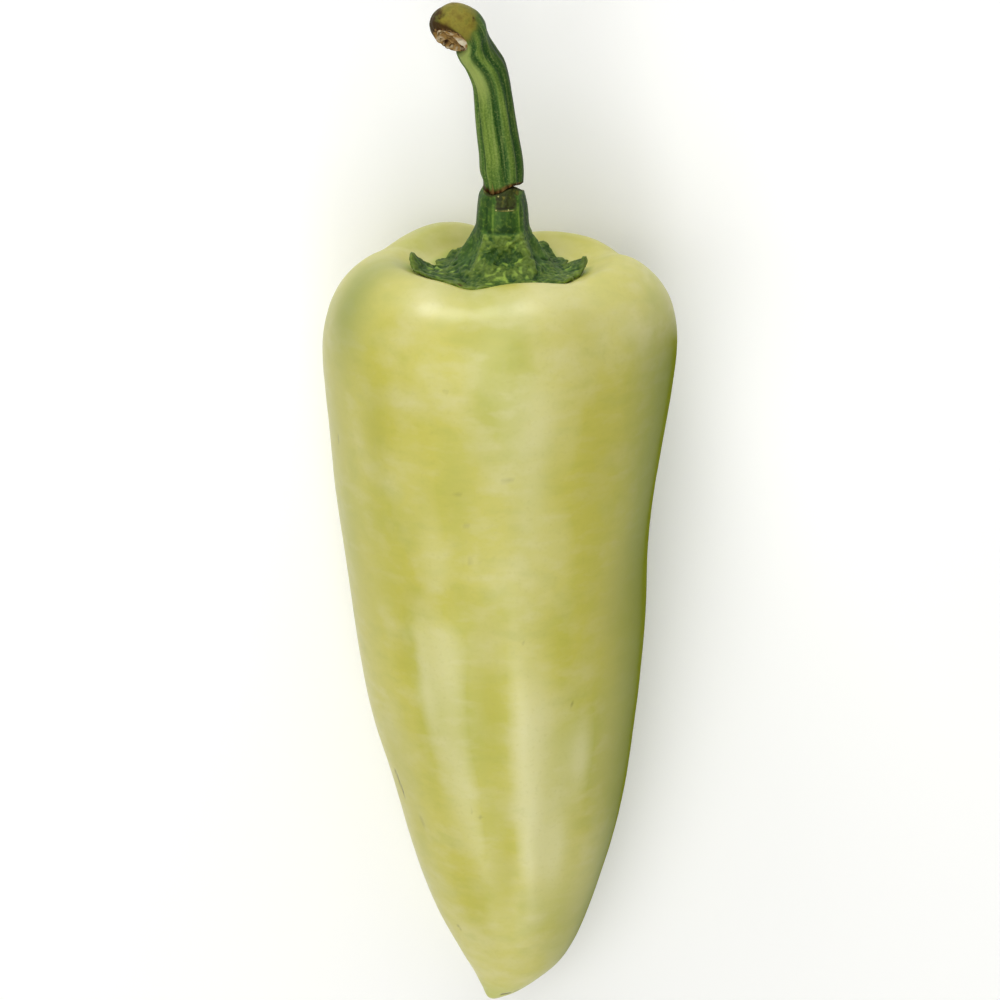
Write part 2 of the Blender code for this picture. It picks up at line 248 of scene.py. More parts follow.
@dataclass(frozen=True)
class Layer:
    """A colour that shows where its source rises from low to high, up to a strength."""

    colour: str | bpy.types.NodeSocket
    source: bpy.types.NodeSocket
    low: float
    high: float
    strength: float = 1.0


def paint(tree: bpy.types.NodeTree, base: str, layers: Sequence[Layer]) -> bpy.types.NodeSocket:
    """Lays colours over a base colour, one after another.

    Args:
        tree: The material's node tree.
        base: The colour underneath, as sRGB hex.
        layers: The colours over it, from the lowest to the topmost.

    Returns:
        The finished colour.
    """
    under = None
    for layer in layers:
        reach = {"From Min": layer.low, "From Max": layer.high, "To Max": layer.strength}
        mask = add_node(tree, "ShaderNodeMapRange", reach, {"Value": layer.source})
        colours = {"data_type": "RGBA", 6: to_linear(base)}
        feeds = {0: mask.outputs["Result"]}
        if isinstance(layer.colour, str):
            colours[7] = to_linear(layer.colour)
        else:
            feeds[7] = layer.colour
        if under is not None:
            feeds[6] = under
        under = add_node(tree, "ShaderNodeMix", colours, feeds).outputs[2]
    return under


@dataclass(frozen=True)
class Pattern:
    """A cloudy pattern in a finish, sized from the real thing."""

    size_mm: float
    detail: float
    stretch: tuple[float, float, float] | None = None
    mark: str = "place"
    kind: str = "FBM"
    distortion: float = 0.0


class Finish:
    """A procedural material: the marks it reads, its patterns, and colours laid over one another.

    Each field that holds a Pattern becomes a pattern that the colours read under its name.
    """

    name: str = "plain"
    reads: tuple[str, ...] = ()
    roughness: Span = (0.5, 0.5)
    # The pattern that the roughness follows, and the one that raises the surface
    rough_by: str = ""
    raised_by: str = ""
    bump_strength: float = 0.5
    bump_mm: float = 0.05
    ior: float = 1.42
    shine: float = 0.5

    def sources(self, tree: bpy.types.NodeTree) -> Sockets:
        """Adds the marks and the patterns that the finish reads.

        Args:
            tree: The material's node tree.

        Returns:
            Their sockets, by name.
        """
        found = {}
        for mark in ("place", *self.reads):
            reader = add_node(tree, "ShaderNodeAttribute", {"attribute_name": mark})
            found[mark] = reader.outputs["Vector" if mark in VECTOR_MARKS else "Fac"]
        for field in fields(self):
            pattern = getattr(self, field.name)
            if isinstance(pattern, Pattern):
                spot = found[pattern.mark]
                if pattern.stretch:
                    drawn = add_node(tree, "ShaderNodeMapping", {"Scale": pattern.stretch}, {"Vector": spot})
                    spot = drawn.outputs["Vector"]
                look = {"noise_type": pattern.kind, "Scale": 1.0 / pattern.size_mm,
                        "Detail": pattern.detail, "Distortion": pattern.distortion}
                cloud = add_node(tree, "ShaderNodeTexNoise", look, {"Vector": spot})
                found[field.name] = cloud.outputs["Fac"]
        return found

    def colour(self, tree: bpy.types.NodeTree, read: Sockets) -> bpy.types.NodeSocket:
        """Lays the finish's colours.

        Args:
            tree: The material's node tree.
            read: The marks and patterns, by name.

        Returns:
            The finished colour.
        """
        raise NotImplementedError

    def coat(self, tree: bpy.types.NodeTree, read: Sockets) -> Sockets:
        """What else feeds the shader, by the names of its inputs."""
        return {}

    def constants(self) -> dict[str, object]:
        """Values for the shader's other inputs, by name."""
        return {"IOR": self.ior, "Specular IOR Level": self.shine}

    def fill(self, tree: bpy.types.NodeTree, shader: bpy.types.Node) -> None:
        """Adds the finish's nodes.

        Args:
            tree: The material's node tree.
            shader: Its Principled shader.
        """
        read = self.sources(tree)
        low, high = self.roughness
        gloss = add_node(tree, "ShaderNodeMapRange", {"To Min": low, "To Max": high},
                         {"Value": read[self.rough_by]})
        grain = {"Strength": self.bump_strength, "Distance": self.bump_mm * MILLIMETRE}
        raised = add_node(tree, "ShaderNodeBump", grain, {"Height": read[self.raised_by]})
        for name, value in self.constants().items():
            shader.inputs[name].default_value = value
        feeds = {
            "Base Color": self.colour(tree, read),
            "Roughness": gloss.outputs["Result"],
            "Normal": raised.outputs["Normal"],
            **self.coat(tree, read),
        }
        for name, source in feeds.items():
            tree.links.new(source, shader.inputs[name])

    def make(self) -> bpy.types.Material:
        """Makes the material.

        Returns:
            The material, with its nodes filled in.
        """
        material = bpy.data.materials.new(self.name)
        material.use_nodes = True
        self.fill(material.node_tree, material.node_tree.nodes["Principled BSDF"])
        return material


@dataclass(frozen=True)
class WaxySkin(Finish):
    """The living cuticle of a pale chilli: yellow-green, clouded, satin under a thin natural wax.

    The wax gives the eye wide soft lights; the flesh just under it lets a little light through.
    """

    name: str = "waxy_chilli_cuticle"
    reads: tuple[str, ...] = ("relief", "halo", "scar", "flank", "wax", "rubbed")
    base: str = "#c7c159"
    greener: str = "#a9ae44"
    paler: str = "#d6d19a"
    # Painted highlight along the ridges, and painted shade in the hollows
    ridge: str = "#e2dea8"
    hollow: str = "#bab544"
    lime: str = "#9aae28"
    # Painted shade on the right side, also laid on the green patches and a little underneath
    shaded: str = "#7f8b20"
    dull: str = "#a8a350"
    corky: str = "#5f5624"
    # Clouds run along the fruit, so they are drawn out to about twice their width
    clouds: Pattern = Pattern(13.0, 3.0, (1.0, 0.5, 1.0))
    drift: Pattern = Pattern(7.0, 4.0)
    # Growth mottles the skin in short wisps that lie across it
    mottle: Pattern = Pattern(2.4, 4.0, (0.6, 1.3, 0.6))
    # Real pores are under 0.1 mm, too fine to show, so they are drawn coarser
    pores: Pattern = Pattern(0.5, 2.0)
    roughness: Span = (0.34, 0.44)
    rough_by: str = "drift"
    raised_by: str = "pores"
    bump_strength: float = 0.12
    thin_wax: float = 0.2
    thick_wax: float = 1.0
    wax_roughness: float = 0.3
    flesh_share: float = 0.12
    flesh_depth_mm: float = 2.0
    # Red light goes furthest through the flesh and blue the least
    flesh_reach: tuple[float, float, float] = (1.0, 0.8, 0.3)

    def colour(self, tree: bpy.types.NodeTree, read: Sockets) -> bpy.types.NodeSocket:
        """Lays the skin's clouds and mottling, painted highlight on its ridges and painted shade in its
        hollows, painted shade on its right side, then its marks.
        """
        return paint(tree, self.base, (
            Layer(self.greener, read["clouds"], 0.5, 0.68, 0.5),
            Layer(self.paler, read["drift"], 0.48, 0.72, 0.5),
            Layer(self.greener, read["mottle"], 0.48, 0.3, 0.28),
            Layer(self.paler, read["mottle"], 0.52, 0.7, 0.28),
            # Painted highlight on the ridges and paler clouds, painted shade in the hollows and greener
            # clouds
            Layer(self.ridge, read["relief"], 0.5, 0.8, 0.7),
            Layer(self.hollow, read["relief"], 0.5, 0.2, 0.7),
            # Painted shade on the right side, with the green patches and a darker underside
            Layer(self.shaded, read["flank"], 0.0, 1.0, 0.95),
            Layer(self.lime, read["halo"], 0.0, 1.0, 0.9),
            Layer(self.dull, read["pores"], 0.55, 0.75, 0.12),
            Layer(self.corky, read["scar"], 0.1, 0.9, 0.9),
        ))

    def coat(self, tree: bpy.types.NodeTree, read: Sockets) -> Sockets:
        """Adds the wax, thick on the shoulder and rubbed off the right side, which shines less.

        Args:
            tree: The material's node tree.
            read: The marks and patterns, by name.

        Returns:
            What feeds the shader, by the names of its inputs.
        """
        rubbed = {"Value": read["rubbed"]}
        shine = add_node(tree, "ShaderNodeMapRange", {"To Min": self.shine, "To Max": 0.0}, rubbed)
        thin = add_node(tree, "ShaderNodeMapRange", {"To Min": self.thin_wax, "To Max": 0.0}, rubbed)
        thick = {"Value": read["wax"], "To Min": thin.outputs["Result"]}
        wax = add_node(tree, "ShaderNodeMapRange", {"To Max": self.thick_wax}, thick)
        return {"Specular IOR Level": shine.outputs["Result"], "Coat Weight": wax.outputs["Result"]}

    def constants(self) -> dict[str, object]:
        """The wax's gloss, and how far light goes through the flesh."""
        return {
            "IOR": self.ior,
            "Coat Roughness": self.wax_roughness,
            "Subsurface Weight": self.flesh_share,
            "Subsurface Radius": self.flesh_reach,
            "Subsurface Scale": self.flesh_depth_mm * MILLIMETRE,
        }


@dataclass(frozen=True)
class CrumpledLeaf(Finish):
    """The tough green leaf of a chilli's calyx, with painted shade in its creases and painted highlight
    along its crests.
    """

    name: str = "crumpled_calyx_leaf"
    reads: tuple[str, ...] = ("relief", "edge", "scar", "wood", "tone", "rough")
    base: str = "#4b6f29"
    crest: str = "#97b049"
    crease: str = "#213c17"
    edge: str = "#8f9f3a"
    fleck: str = "#4e2018"
    torn: str = "#3c451c"
    torn_dark: str = "#28290f"
    torn_tan: str = "#6f6a2a"
    torn_pale: str = "#cfcb8c"
    blotches: Pattern = Pattern(1.2, 4.0)
    # Veins are finer than this, about 0.1 mm, and are drawn coarser to show
    veins: Pattern = Pattern(0.35, 2.0)
    wrinkles: Pattern = Pattern(1.1, 3.0, kind="RIDGED_MULTIFRACTAL", distortion=0.4)
    # Where the wrinkles' pattern starts to be painted as a highlit crest or a shaded crease, and where it is
    # one in full
    wrinkle_crest: Span = (0.35, 0.6)
    wrinkle_crease: Span = (0.3, 0.1)
    roughness: Span = (0.45, 0.62)
    rough_by: str = "blotches"
    raised_by: str = "wrinkles"
    bump_strength: float = 0.6
    bump_mm: float = 0.1
    shine: float = 0.2

    def wrinkled(self, tree: bpy.types.NodeTree, read: Sockets, reach: Span) -> bpy.types.NodeSocket:
        """Finds where a stretch of the wrinkles' pattern shows, on the rough parts of the leaf.

        Args:
            tree: The material's node tree.
            read: The marks and patterns, by name.
            reach: Where the pattern starts to show, and where it shows in full.

        Returns:
            How much of it shows.
        """
        low, high = reach
        lines = add_node(tree, "ShaderNodeMapRange", {"From Min": low, "From Max": high},
                         {"Value": read["wrinkles"]})
        factors = {0: read["rough"], 1: lines.outputs["Result"]}
        return add_node(tree, "ShaderNodeMath", {"operation": "MULTIPLY"}, factors).outputs[0]

    def colour(self, tree: bpy.types.NodeTree, read: Sockets) -> bpy.types.NodeSocket:
        """Lays the leaf's blotches, its folds and wrinkles as painted highlight on crests and painted shade
        in creases, its veins, then the torn bark and the flecks.

        Args:
            tree: The material's node tree.
            read: The marks and patterns, by name.

        Returns:
            The finished colour.
        """
        torn = paint(tree, self.torn, (
            Layer(self.torn_dark, read["tone"], 0.45, 0.1, 1.0),
            Layer(self.torn_tan, read["tone"], 0.55, 0.8, 0.9),
            Layer(self.torn_pale, read["tone"], 0.85, 1.0, 0.9),
            Layer(self.torn_dark, read["veins"], 0.5, 0.7, 0.5),
        ))
        return paint(tree, self.base, (
            Layer(self.crest, read["blotches"], 0.5, 0.7, 0.35),
            Layer(self.crease, read["blotches"], 0.45, 0.3, 0.35),
            # Painted highlight on crests and painted shade in creases
            Layer(self.crest, read["relief"], 0.52, 0.95, 0.9),
            Layer(self.crease, read["relief"], 0.48, 0.05, 0.9),
            Layer(self.crease, self.wrinkled(tree, read, self.wrinkle_crease), 0.0, 1.0, 0.65),
            Layer(self.crest, self.wrinkled(tree, read, self.wrinkle_crest), 0.0, 1.0, 0.95),
            Layer(self.crease, read["veins"], 0.48, 0.34, 0.22),
            Layer(self.crest, read["veins"], 0.52, 0.7, 0.2),
            Layer(self.edge, read["edge"], 0.0, 1.0, 0.3),
            Layer(torn, read["wood"], 0.1, 0.7, 1.0),
            Layer(self.fleck, read["scar"], 0.1, 0.9, 0.9),
        ))


@dataclass(frozen=True)
class RibbedBark(Finish):
    """The skin of the stalk: pale green ribs, dark green furrows, going olive-brown on the knob."""

    name: str = "ribbed_stalk_bark"
    reads: tuple[str, ...] = ("grain", "rib", "knob", "wood", "pale", "shade", "scorch", "tone")
    base: str = "#4d6d2c"
    rib: str = "#748c3a"
    furrow: str = "#294b1d"
    pale: str = "#a3b160"
    shaded: str = "#233616"
    knob: str = "#897f30"
    knob_green: str = "#59672a"
    knob_brown: str = "#66531f"
    torn: str = "#a5834a"
    scorched: str = "#3c240d"
    pith: str = "#e0d6ba"
    # The bark's fibres run along the stalk, so the streaks are drawn out to ten times their width
    streaks: Pattern = Pattern(0.3, 3.0, (1.0, 1.0, 0.1), "grain")
    blotches: Pattern = Pattern(1.1, 4.0)
    specks: Pattern = Pattern(0.22, 2.0)
    roughness: Span = (0.45, 0.6)
    rough_by: str = "blotches"
    raised_by: str = "streaks"
    bump_mm: float = 0.08
    shine: float = 0.12

    def colour(self, tree: bpy.types.NodeTree, read: Sockets) -> bpy.types.NodeSocket:
        """Lays the ribs, furrows and streaks, a painted highlight on the ribs that catch the light and on
        the broad rib's top, painted shade on the right side, then the knob, the scorched edges and the torn
        face.

        Args:
            tree: The material's node tree.
            read: The marks and patterns, by name.

        Returns:
            The finished colour.
        """
        torn = paint(tree, self.torn, (
            Layer(self.scorched, read["tone"], 0.5, 0.05, 1.0),
            Layer(self.pith, read["tone"], 0.6, 0.95, 1.0),
            Layer(self.scorched, read["streaks"], 0.5, 0.75, 0.4),
        ))
        knob = paint(tree, self.knob, (
            Layer(self.knob_green, read["blotches"], 0.5, 0.34, 0.35),
            Layer(self.knob_brown, read["blotches"], 0.5, 0.72, 0.6),
            Layer(self.knob_brown, read["specks"], 0.5, 0.7, 0.3),
            Layer(self.knob_green, read["knob"], 0.95, 0.45, 0.9),
        ))
        return paint(tree, self.base, (
            Layer(self.rib, read["rib"], 0.5, 0.95, 0.9),
            Layer(self.furrow, read["rib"], 0.5, 0.05, 0.95),
            Layer(self.furrow, read["streaks"], 0.5, 0.36, 0.4),
            Layer(self.pale, read["streaks"], 0.53, 0.7, 0.3),
            Layer(self.furrow, read["specks"], 0.5, 0.35, 0.3),
            Layer(self.pale, read["specks"], 0.53, 0.7, 0.25),
            # Painted highlight on the broad rib's top, and painted shade on the stalk's right side
            Layer(self.pale, read["pale"], 0.0, 1.0, 0.75),
            Layer(self.shaded, read["shade"], 0.0, 1.0, 0.75),
            Layer(knob, read["knob"], 0.0, 0.75, 0.97),
            Layer(self.scorched, read["scorch"], 0.0, 1.0, 0.92),
            Layer(torn, read["wood"], 0.1, 0.7, 1.0),
        ))


@dataclass(frozen=True)
class TornFibre(Finish):
    """Dried fibres where the stalk tore: tan strands, brown where they scorched in the air."""

    name: str = "torn_dry_fibre"
    reads: tuple[str, ...] = ("tone",)
    tan: str = "#b09a6c"
    brown: str = "#5a3c1e"
    white: str = "#ded4b8"
    strands: Pattern = Pattern(0.2, 3.0)
    roughness: Span = (0.75, 0.75)
    rough_by: str = "strands"
    raised_by: str = "strands"
    ior: float = 1.5

    def colour(self, tree: bpy.types.NodeTree, read: Sockets) -> bpy.types.NodeSocket:
        """Lays brown and white over the tan, by each shred's tone, and brown strands over them."""
        return paint(tree, self.tan, (
            Layer(self.brown, read["tone"], 0.5, 0.0, 1.0),
            Layer(self.white, read["tone"], 0.5, 1.0, 1.0),
            Layer(self.brown, read["strands"], 0.5, 0.7, 0.5),
        ))


@dataclass(frozen=True)
class PaintedBoard(Finish):
    """The studio's board: matt white emulsion with the faint cloud that a roller leaves."""

    name: str = "matt_white_emulsion"
    white: str = "#f7f7f5"
    shade: str = "#f1f1ee"
    cloud_m: float = 0.2
    # How much the board glows, painted light that fills its shadow
    painted_glow: float = 0.12
    matt: float = 0.9
    shine: float = 0.2

    def fill(self, tree: bpy.types.NodeTree, shader: bpy.types.Node) -> None:
        """Adds the board's clouds, which follow the board itself.

        Args:
            tree: The material's node tree.
            shader: Its Principled shader.
        """
        spot = add_node(tree, "ShaderNodeTexCoord").outputs["Object"]
        clouds = add_node(tree, "ShaderNodeTexNoise", {"Scale": 1.0 / self.cloud_m},
                          {"Vector": spot}).outputs["Fac"]
        colour = paint(tree, self.white, (Layer(self.shade, clouds, 0.4, 0.7, 1.0),))
        # The board glows a little, painted light that keeps the shadow on it faint
        for name in ("Base Color", "Emission Color"):
            tree.links.new(colour, shader.inputs[name])
        shader.inputs["Emission Strength"].default_value = self.painted_glow
        shader.inputs["Roughness"].default_value = self.matt
        shader.inputs["Specular IOR Level"].default_value = self.shine


@dataclass(frozen=True)
class LyingPose:
    """How the pepper lies: its axis rises to the stalk, because the fruit is thickest there."""

    axis_rise: float = 5.8
    middle_across: float = -0.05
    middle_height: float = 62.45
    middle_above_floor: float = 17.07
    flat_softness: float = 0.3

    def place(self, points: np.ndarray) -> np.ndarray:
        """Turns places about the fruit's axis into the world.

        Args:
            points: (across, height, front) in millimetres, with the axes last.

        Returns:
            World places in metres.
        """
        rise = math.radians(self.axis_rise)
        along = points[..., 1] - self.middle_height
        front = points[..., 2]
        world = (
            points[..., 0] - self.middle_across,
            along * math.cos(rise) - front * math.sin(rise),
            along * math.sin(rise) + front * math.cos(rise) + self.middle_above_floor,
        )
        return np.stack(world, axis=-1) * MILLIMETRE

    def lay_down(self, points: np.ndarray) -> np.ndarray:
        """Turns places into the world, pressed softly flat where they would go below the floor.

        Args:
            points: (across, height, front) in millimetres, with the axes last.

        Returns:
            World places in metres, none below the floor.
        """
        world = self.place(points)
        height = world[..., 2] / MILLIMETRE
        soft = (np.maximum(height + self.flat_softness, 0.0)) ** 2 / (4.0 * self.flat_softness)
        world[..., 2] = np.where(height >= self.flat_softness, height, soft) * MILLIMETRE
        return world


POSE = LyingPose()


def make_piece(name: str, vertices: np.ndarray, faces: list[Sequence[int]], finish: Finish,
               marks: dict[str, np.ndarray]) -> bpy.types.Object:
    """Makes a smooth mesh object that rides on the pepper.

    Args:
        name: The piece's name.
        vertices: Its points about the fruit's axis, in millimetres.
        faces: The numbers of each face's points.
        finish: What it is dressed in.
        marks: Values that the finish reads, one for each point.

    Returns:
        The new object.
    """
    mesh = bpy.data.meshes.new(name)
    mesh.from_pydata(POSE.lay_down(vertices).tolist(), [], faces)
    shape = bmesh.new()
    shape.from_mesh(mesh)
    if shape.calc_volume(signed=True) < 0.0:
        bmesh.ops.reverse_faces(shape, faces=shape.faces)
    shape.to_mesh(mesh)
    shape.free()
    mesh.shade_smooth()
    for mark, values in {"place": vertices, **marks}.items():
        vector = values.ndim == 2
        attribute = mesh.attributes.new(mark, "FLOAT_VECTOR" if vector else "FLOAT", "POINT")
        attribute.data.foreach_set("vector" if vector else "value", values.astype(np.float32).ravel())
    mesh.materials.append(finish.make())
    piece = bpy.data.objects.new(name, mesh)
    bpy.context.scene.collection.objects.link(piece)
    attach(piece, "root")
    return piece


def make_shell(name: str, points: np.ndarray, finish: Finish,
               marks: dict[str, np.ndarray]) -> bpy.types.Object:
    """Makes a closed piece from rings of points, the first and last of which are poles.

    Args:
        name: The piece's name.
        points: Rings of points about the fruit's axis, in millimetres.
        finish: What it is dressed in.
        marks: Values that the finish reads, in rings like the points.

    Returns:
        The new object.
    """
    rings, segments = points.shape[:2]
    first = 1 + np.arange(rings - 3)[:, None] * segments
    here = np.arange(segments)[None, :]
    after = (here + 1) % segments
    quads = np.stack((first + here, first + after, first + segments + after,
                      first + segments + here), axis=-1).reshape(-1, 4)
    last_ring = 1 + (rings - 3) * segments
    pole = last_ring + segments
    caps = [(0, 1 + (turn + 1) % segments, 1 + turn) for turn in range(segments)]
    caps += [(pole, last_ring + turn, last_ring + (turn + 1) % segments) for turn in range(segments)]
    flat = {
        mark: np.concatenate((values[:1, 0], values[1:-1].reshape(-1, *values.shape[2:]),
                              values[-1:, 0]))
        for mark, values in {"points": points, **marks}.items()
    }
    return make_piece(name, flat.pop("points"), quads.tolist() + caps, finish, flat)


@dataclass(frozen=True)
class Scar:
    """A scratch or fleck on the skin, from one (angle, height) to another."""

    start: Span
    end: Span
    half_width: float
    depth: float
    colour: float

    def mask(self, angle: np.ndarray, height: np.ndarray, radius: float) -> np.ndarray:
        """How much of the scar is at places on the skin.

        Args:
            angle: Angles about the axis.
            height: Heights along it, in millimetres.
            radius: The fruit's radius there, in millimetres.

        Returns:
            1 in the scar, falling off to 0 beside it.
        """
        mm_a_degree = math.radians(radius)
        run = turn_between(self.end[0], self.start[0]) * mm_a_degree
        rise = self.end[1] - self.start[1]
        across = turn_between(angle, self.start[0]) * mm_a_degree
        along = height - self.start[1]
        length = max(run * run + rise * rise, 1e-6)
        share = np.clip((across * run + along * rise) / length, 0.0, 1.0)
        away = np.hypot(across - share * run, along - share * rise)
        return bell(away, 0.0, self.half_width)


@dataclass(frozen=True)
class Fruit:
    """The pale fruit: a long lobed cone with a hollow on its shoulder and a beaked tip."""

    segments: int = 290
    rings: int = 330
    # Radius and height, from the hollow under the calyx, over the shoulder, to the tip
    meridian: Rows = (
        (0.0, 93.0), (4.5, 93.0), (7.8, 93.1), (9.8, 93.5), (11.3, 94.3), (13.0, 94.9),
        (15.0, 94.6), (17.0, 93.4), (18.7, 91.5), (20.0, 88.6), (20.6, 84.5), (20.3, 79.0),
        (19.3, 70.0), (18.2, 60.0), (17.4, 50.0), (16.2, 40.0), (14.3, 30.5), (12.0, 21.0),
        (9.4, 13.0), (6.7, 7.2), (4.15, 3.6), (1.8, 1.0), (0.0, 0.0),
    )
    crest_row: int = 5
    hollow_radius: float = 8.0
    front_flattening: float = 0.04
    # Height, and how far the axis is bowed across there
    bow: Rows = (
        (0.0, -0.9), (2.0, 0.45), (6.0, 1.65), (13.0, 1.6), (27.0, 1.3), (40.0, 0.5),
        (50.0, 0.0), (65.0, -0.55), (80.0, -0.25), (95.0, 0.25),
    )
    # Angle, half width, depth at the rim, at the shoulder and on the flank, height of the run-out
    furrows: Rows = (
        (334.0, 15.0, 1.0, 1.0, 0.45, 40.0),
        (272.0, 17.0, 0.9, 0.7, 0.1, 72.0),
        (209.5, 15.0, 0.6, 0.45, 0.15, 60.0),
        (107.0, 13.0, 0.75, 0.45, 0.15, 62.0),
        (52.0, 15.0, 0.45, 0.4, 0.15, 55.0),
    )
    furrow_run_out: float = 20.0
    # Angle, half width, lift of the rim, bulge of the shoulder
    lobes: Rows = (
        (240.0, 24.0, 1.05, 0.0),
        (304.0, 18.0, -0.1, 0.0),
        (80.0, 22.0, 0.35, 0.0),
        (165.0, 35.0, 0.0, 0.1),
        (8.0, 22.0, -0.1, 0.35),
    )
    # Angle, half width, rise, lowest and highest height
    wall_ridges: Rows = (
        (96.0, 8.0, -0.32, 10.0, 62.0),
        (113.0, 9.0, 0.22, 20.0, 72.0),
        (80.0, 9.0, 0.22, 8.0, 58.0),
        (128.0, 8.0, -0.22, 46.0, 54.0),
        (35.0, 14.0, -0.25, 22.0, 70.0),
        (150.0, 12.0, -0.2, 14.0, 45.0),
    )
    ridge_end: float = 0.3
    unevenness: float = 0.12
    # Heights between which the furrows, the wall's waves, the shoulder's bulge and the rim's lift show
    furrow_top: Span = (88.0, 76.0)
    wave_stretch: Stretch = ((0.0, 12.0), (93.0, 84.0))
    shoulder_stretch: Stretch = ((72.0, 89.0), (94.6, 90.0))
    rim_stretch: Span = (80.0, 95.0)
    # The wall's dents and lumps start between these distances from the axis, and above the tip's end
    even_bed: Span = (10.5, 13.0)
    even_tip: Span = (0.0, 3.0)
    # The right side, by its turn from straight right, the heights where its wax is rubbed off, and those
    # where its painted shade ends
    right_stretch: Stretch = ((-75.0, -35.0), (53.0, 14.0))
    rubbed_top: Span = (92.5, 86.0)
    dull_top: Span = (91.0, 83.0)
    # Slow and finer lumps of the wall: rise, size in millimetres
    lumps: Rows = ((0.07, 11.0), (0.02, 3.5))
    # The skin is drawn in by this much, so that its unevenness stays inside the pepper's size
    draw_in: float = 0.06
    # Shallow dents and swellings: angle, height, half width in degrees, half height, rise
    dents: Rows = (
        (121.0, 93.2, 11.0, 2.0, 0.14),
        (72.0, 93.6, 17.0, 1.8, 0.1),
        (119.0, 58.3, 13.0, 2.6, -0.1),
        (104.0, 57.0, 9.0, 3.5, -0.08),
        (110.0, 66.0, 8.0, 6.0, 0.07),
        (108.0, 46.0, 7.0, 7.0, 0.08),
        (109.0, 34.0, 7.0, 5.0, 0.06),
        (80.0, 26.0, 9.0, 4.5, 0.12),
        (82.0, 44.0, 8.0, 8.0, 0.05),
        (102.0, 73.0, 9.0, 5.0, -0.06),
        (150.0, 60.0, 14.0, 9.0, -0.08),
        (60.0, 40.0, 12.0, 9.0, -0.07),
        (145.0, 27.0, 9.0, 2.0, -0.1),
        (300.0, 55.0, 22.0, 12.0, -0.1),
        (215.0, 35.0, 18.0, 10.0, -0.12),
        (0.0, 62.0, 16.0, 10.0, -0.08),
    )
    # Clouds of colour, partly the skin's own tone, partly painted highlight where paler and painted shade
    # where (below 0) greener: angle, height, half width, half height, amount
    clouds: Rows = (
        (76.0, 80.0, 7.0, 6.0, 0.14), (75.0, 70.0, 7.0, 8.0, 0.16), (122.5, 51.0, 4.5, 6.0, 0.2),
        (120.5, 43.0, 4.5, 6.0, 0.2), (65.0, 27.0, 10.0, 8.0, 0.18), (60.5, 38.0, 10.0, 5.0, 0.12),
        (72.0, 46.0, 7.0, 5.0, 0.1), (50.0, 91.0, 22.0, 3.0, 0.15), (98.0, 88.0, 8.0, 3.0, 0.1),
        (78.0, 84.5, 9.0, 4.0, 0.14), (48.0, 78.0, 12.0, 8.0, 0.12), (97.0, 27.0, 5.0, 6.0, 0.1),
        (95.0, 78.5, 5.0, 4.0, -0.12), (104.0, 67.5, 5.0, 6.0, -0.14), (125.0, 56.5, 9.0, 2.6, -0.14),
        (107.0, 57.5, 8.0, 2.6, -0.16), (91.0, 55.5, 7.0, 3.0, -0.16), (83.0, 17.7, 5.0, 3.0, -0.1),
        (134.0, 78.4, 7.0, 7.0, -0.16), (136.0, 70.0, 6.0, 7.0, -0.14), (51.0, 60.0, 8.0, 16.0, -0.04),
        (64.5, 77.0, 6.0, 5.0, 0.2), (65.5, 67.0, 6.0, 5.0, 0.14), (80.0, 72.5, 6.0, 7.0, 0.12),
        (107.0, 25.0, 8.0, 4.5, 0.2), (97.0, 38.0, 5.0, 5.0, 0.14), (55.0, 37.0, 6.0, 6.0, 0.24),
        (67.0, 25.0, 6.0, 5.0, 0.16), (157.0, 77.5, 9.0, 9.0, -0.22),
    )
    # Darker green patches: angle, height, half width, half height, amount
    green_patches: Rows = (
        (160.0, 92.0, 13.0, 4.0, 0.65), (150.0, 88.0, 12.0, 4.5, 0.4), (174.0, 94.6, 14.0, 1.6, 0.35),
        (134.0, 78.4, 6.0, 5.0, 0.15), (50.0, 12.0, 14.0, 9.0, 0.35),
    )
    scars: tuple[Scar, ...] = (
        Scar((158.5, 32.4), (156.0, 29.4), 0.22, 0.06, 1.0),
        Scar((159.5, 75.6), (158.5, 74.2), 0.18, 0.03, 0.5),
        Scar((161.0, 69.8), (160.4, 68.9), 0.2, 0.03, 0.5),
        Scar((160.0, 61.8), (159.8, 61.5), 0.2, 0.03, 0.55),
        Scar((144.0, 27.4), (143.0, 26.4), 0.5, 0.04, 0.3),
        Scar((88.0, 73.6), (85.0, 73.8), 0.4, 0.03, 0.3),
        Scar((106.0, 72.2), (101.5, 71.8), 0.2, 0.02, 0.3),
        Scar((100.2, 68.2), (99.8, 68.0), 0.45, 0.03, 0.3),
        Scar((99.0, 63.8), (98.9, 63.5), 0.4, 0.03, 0.3),
        Scar((107.5, 84.3), (107.2, 84.2), 0.35, 0.02, 0.3),
        Scar((81.5, 53.6), (80.6, 53.0), 0.16, 0.03, 0.5),
        Scar((61.0, 44.9), (60.9, 44.7), 0.16, 0.03, 0.6),
        Scar((108.7, 32.4), (108.3, 30.4), 0.12, 0.03, 0.4),
        Scar((108.3, 30.2), (98.5, 29.4), 0.1, 0.03, 0.35),
        Scar((137.0, 12.6), (135.2, 12.2), 0.22, 0.03, 0.5),
        Scar((88.0, 1.5), (70.0, 1.7), 0.22, 0.1, 1.0),
        Scar((60.0, 2.0), (52.0, 2.1), 0.16, 0.08, 0.8),
        Scar((230.0, 48.0), (238.0, 46.0), 0.2, 0.03, 0.5),
        Scar((320.0, 70.0), (322.0, 66.0), 0.18, 0.03, 0.5),
    )
    # How strongly the wall's rise and its dents show in the colour, as painted highlight and painted shade
    rise_tone: float = 0.9
    dent_tone: float = 1.5
    # Lime green skin: how far past the calyx it fades, and how strong it is at the tip
    halo_reach: Span = (1.3, -0.2)
    tip_lime: float = 0.45
    # How much painted shade darkens the right side, and how much darker the underside is
    right_painted_shade: float = 0.92
    under_darkening: float = 0.25

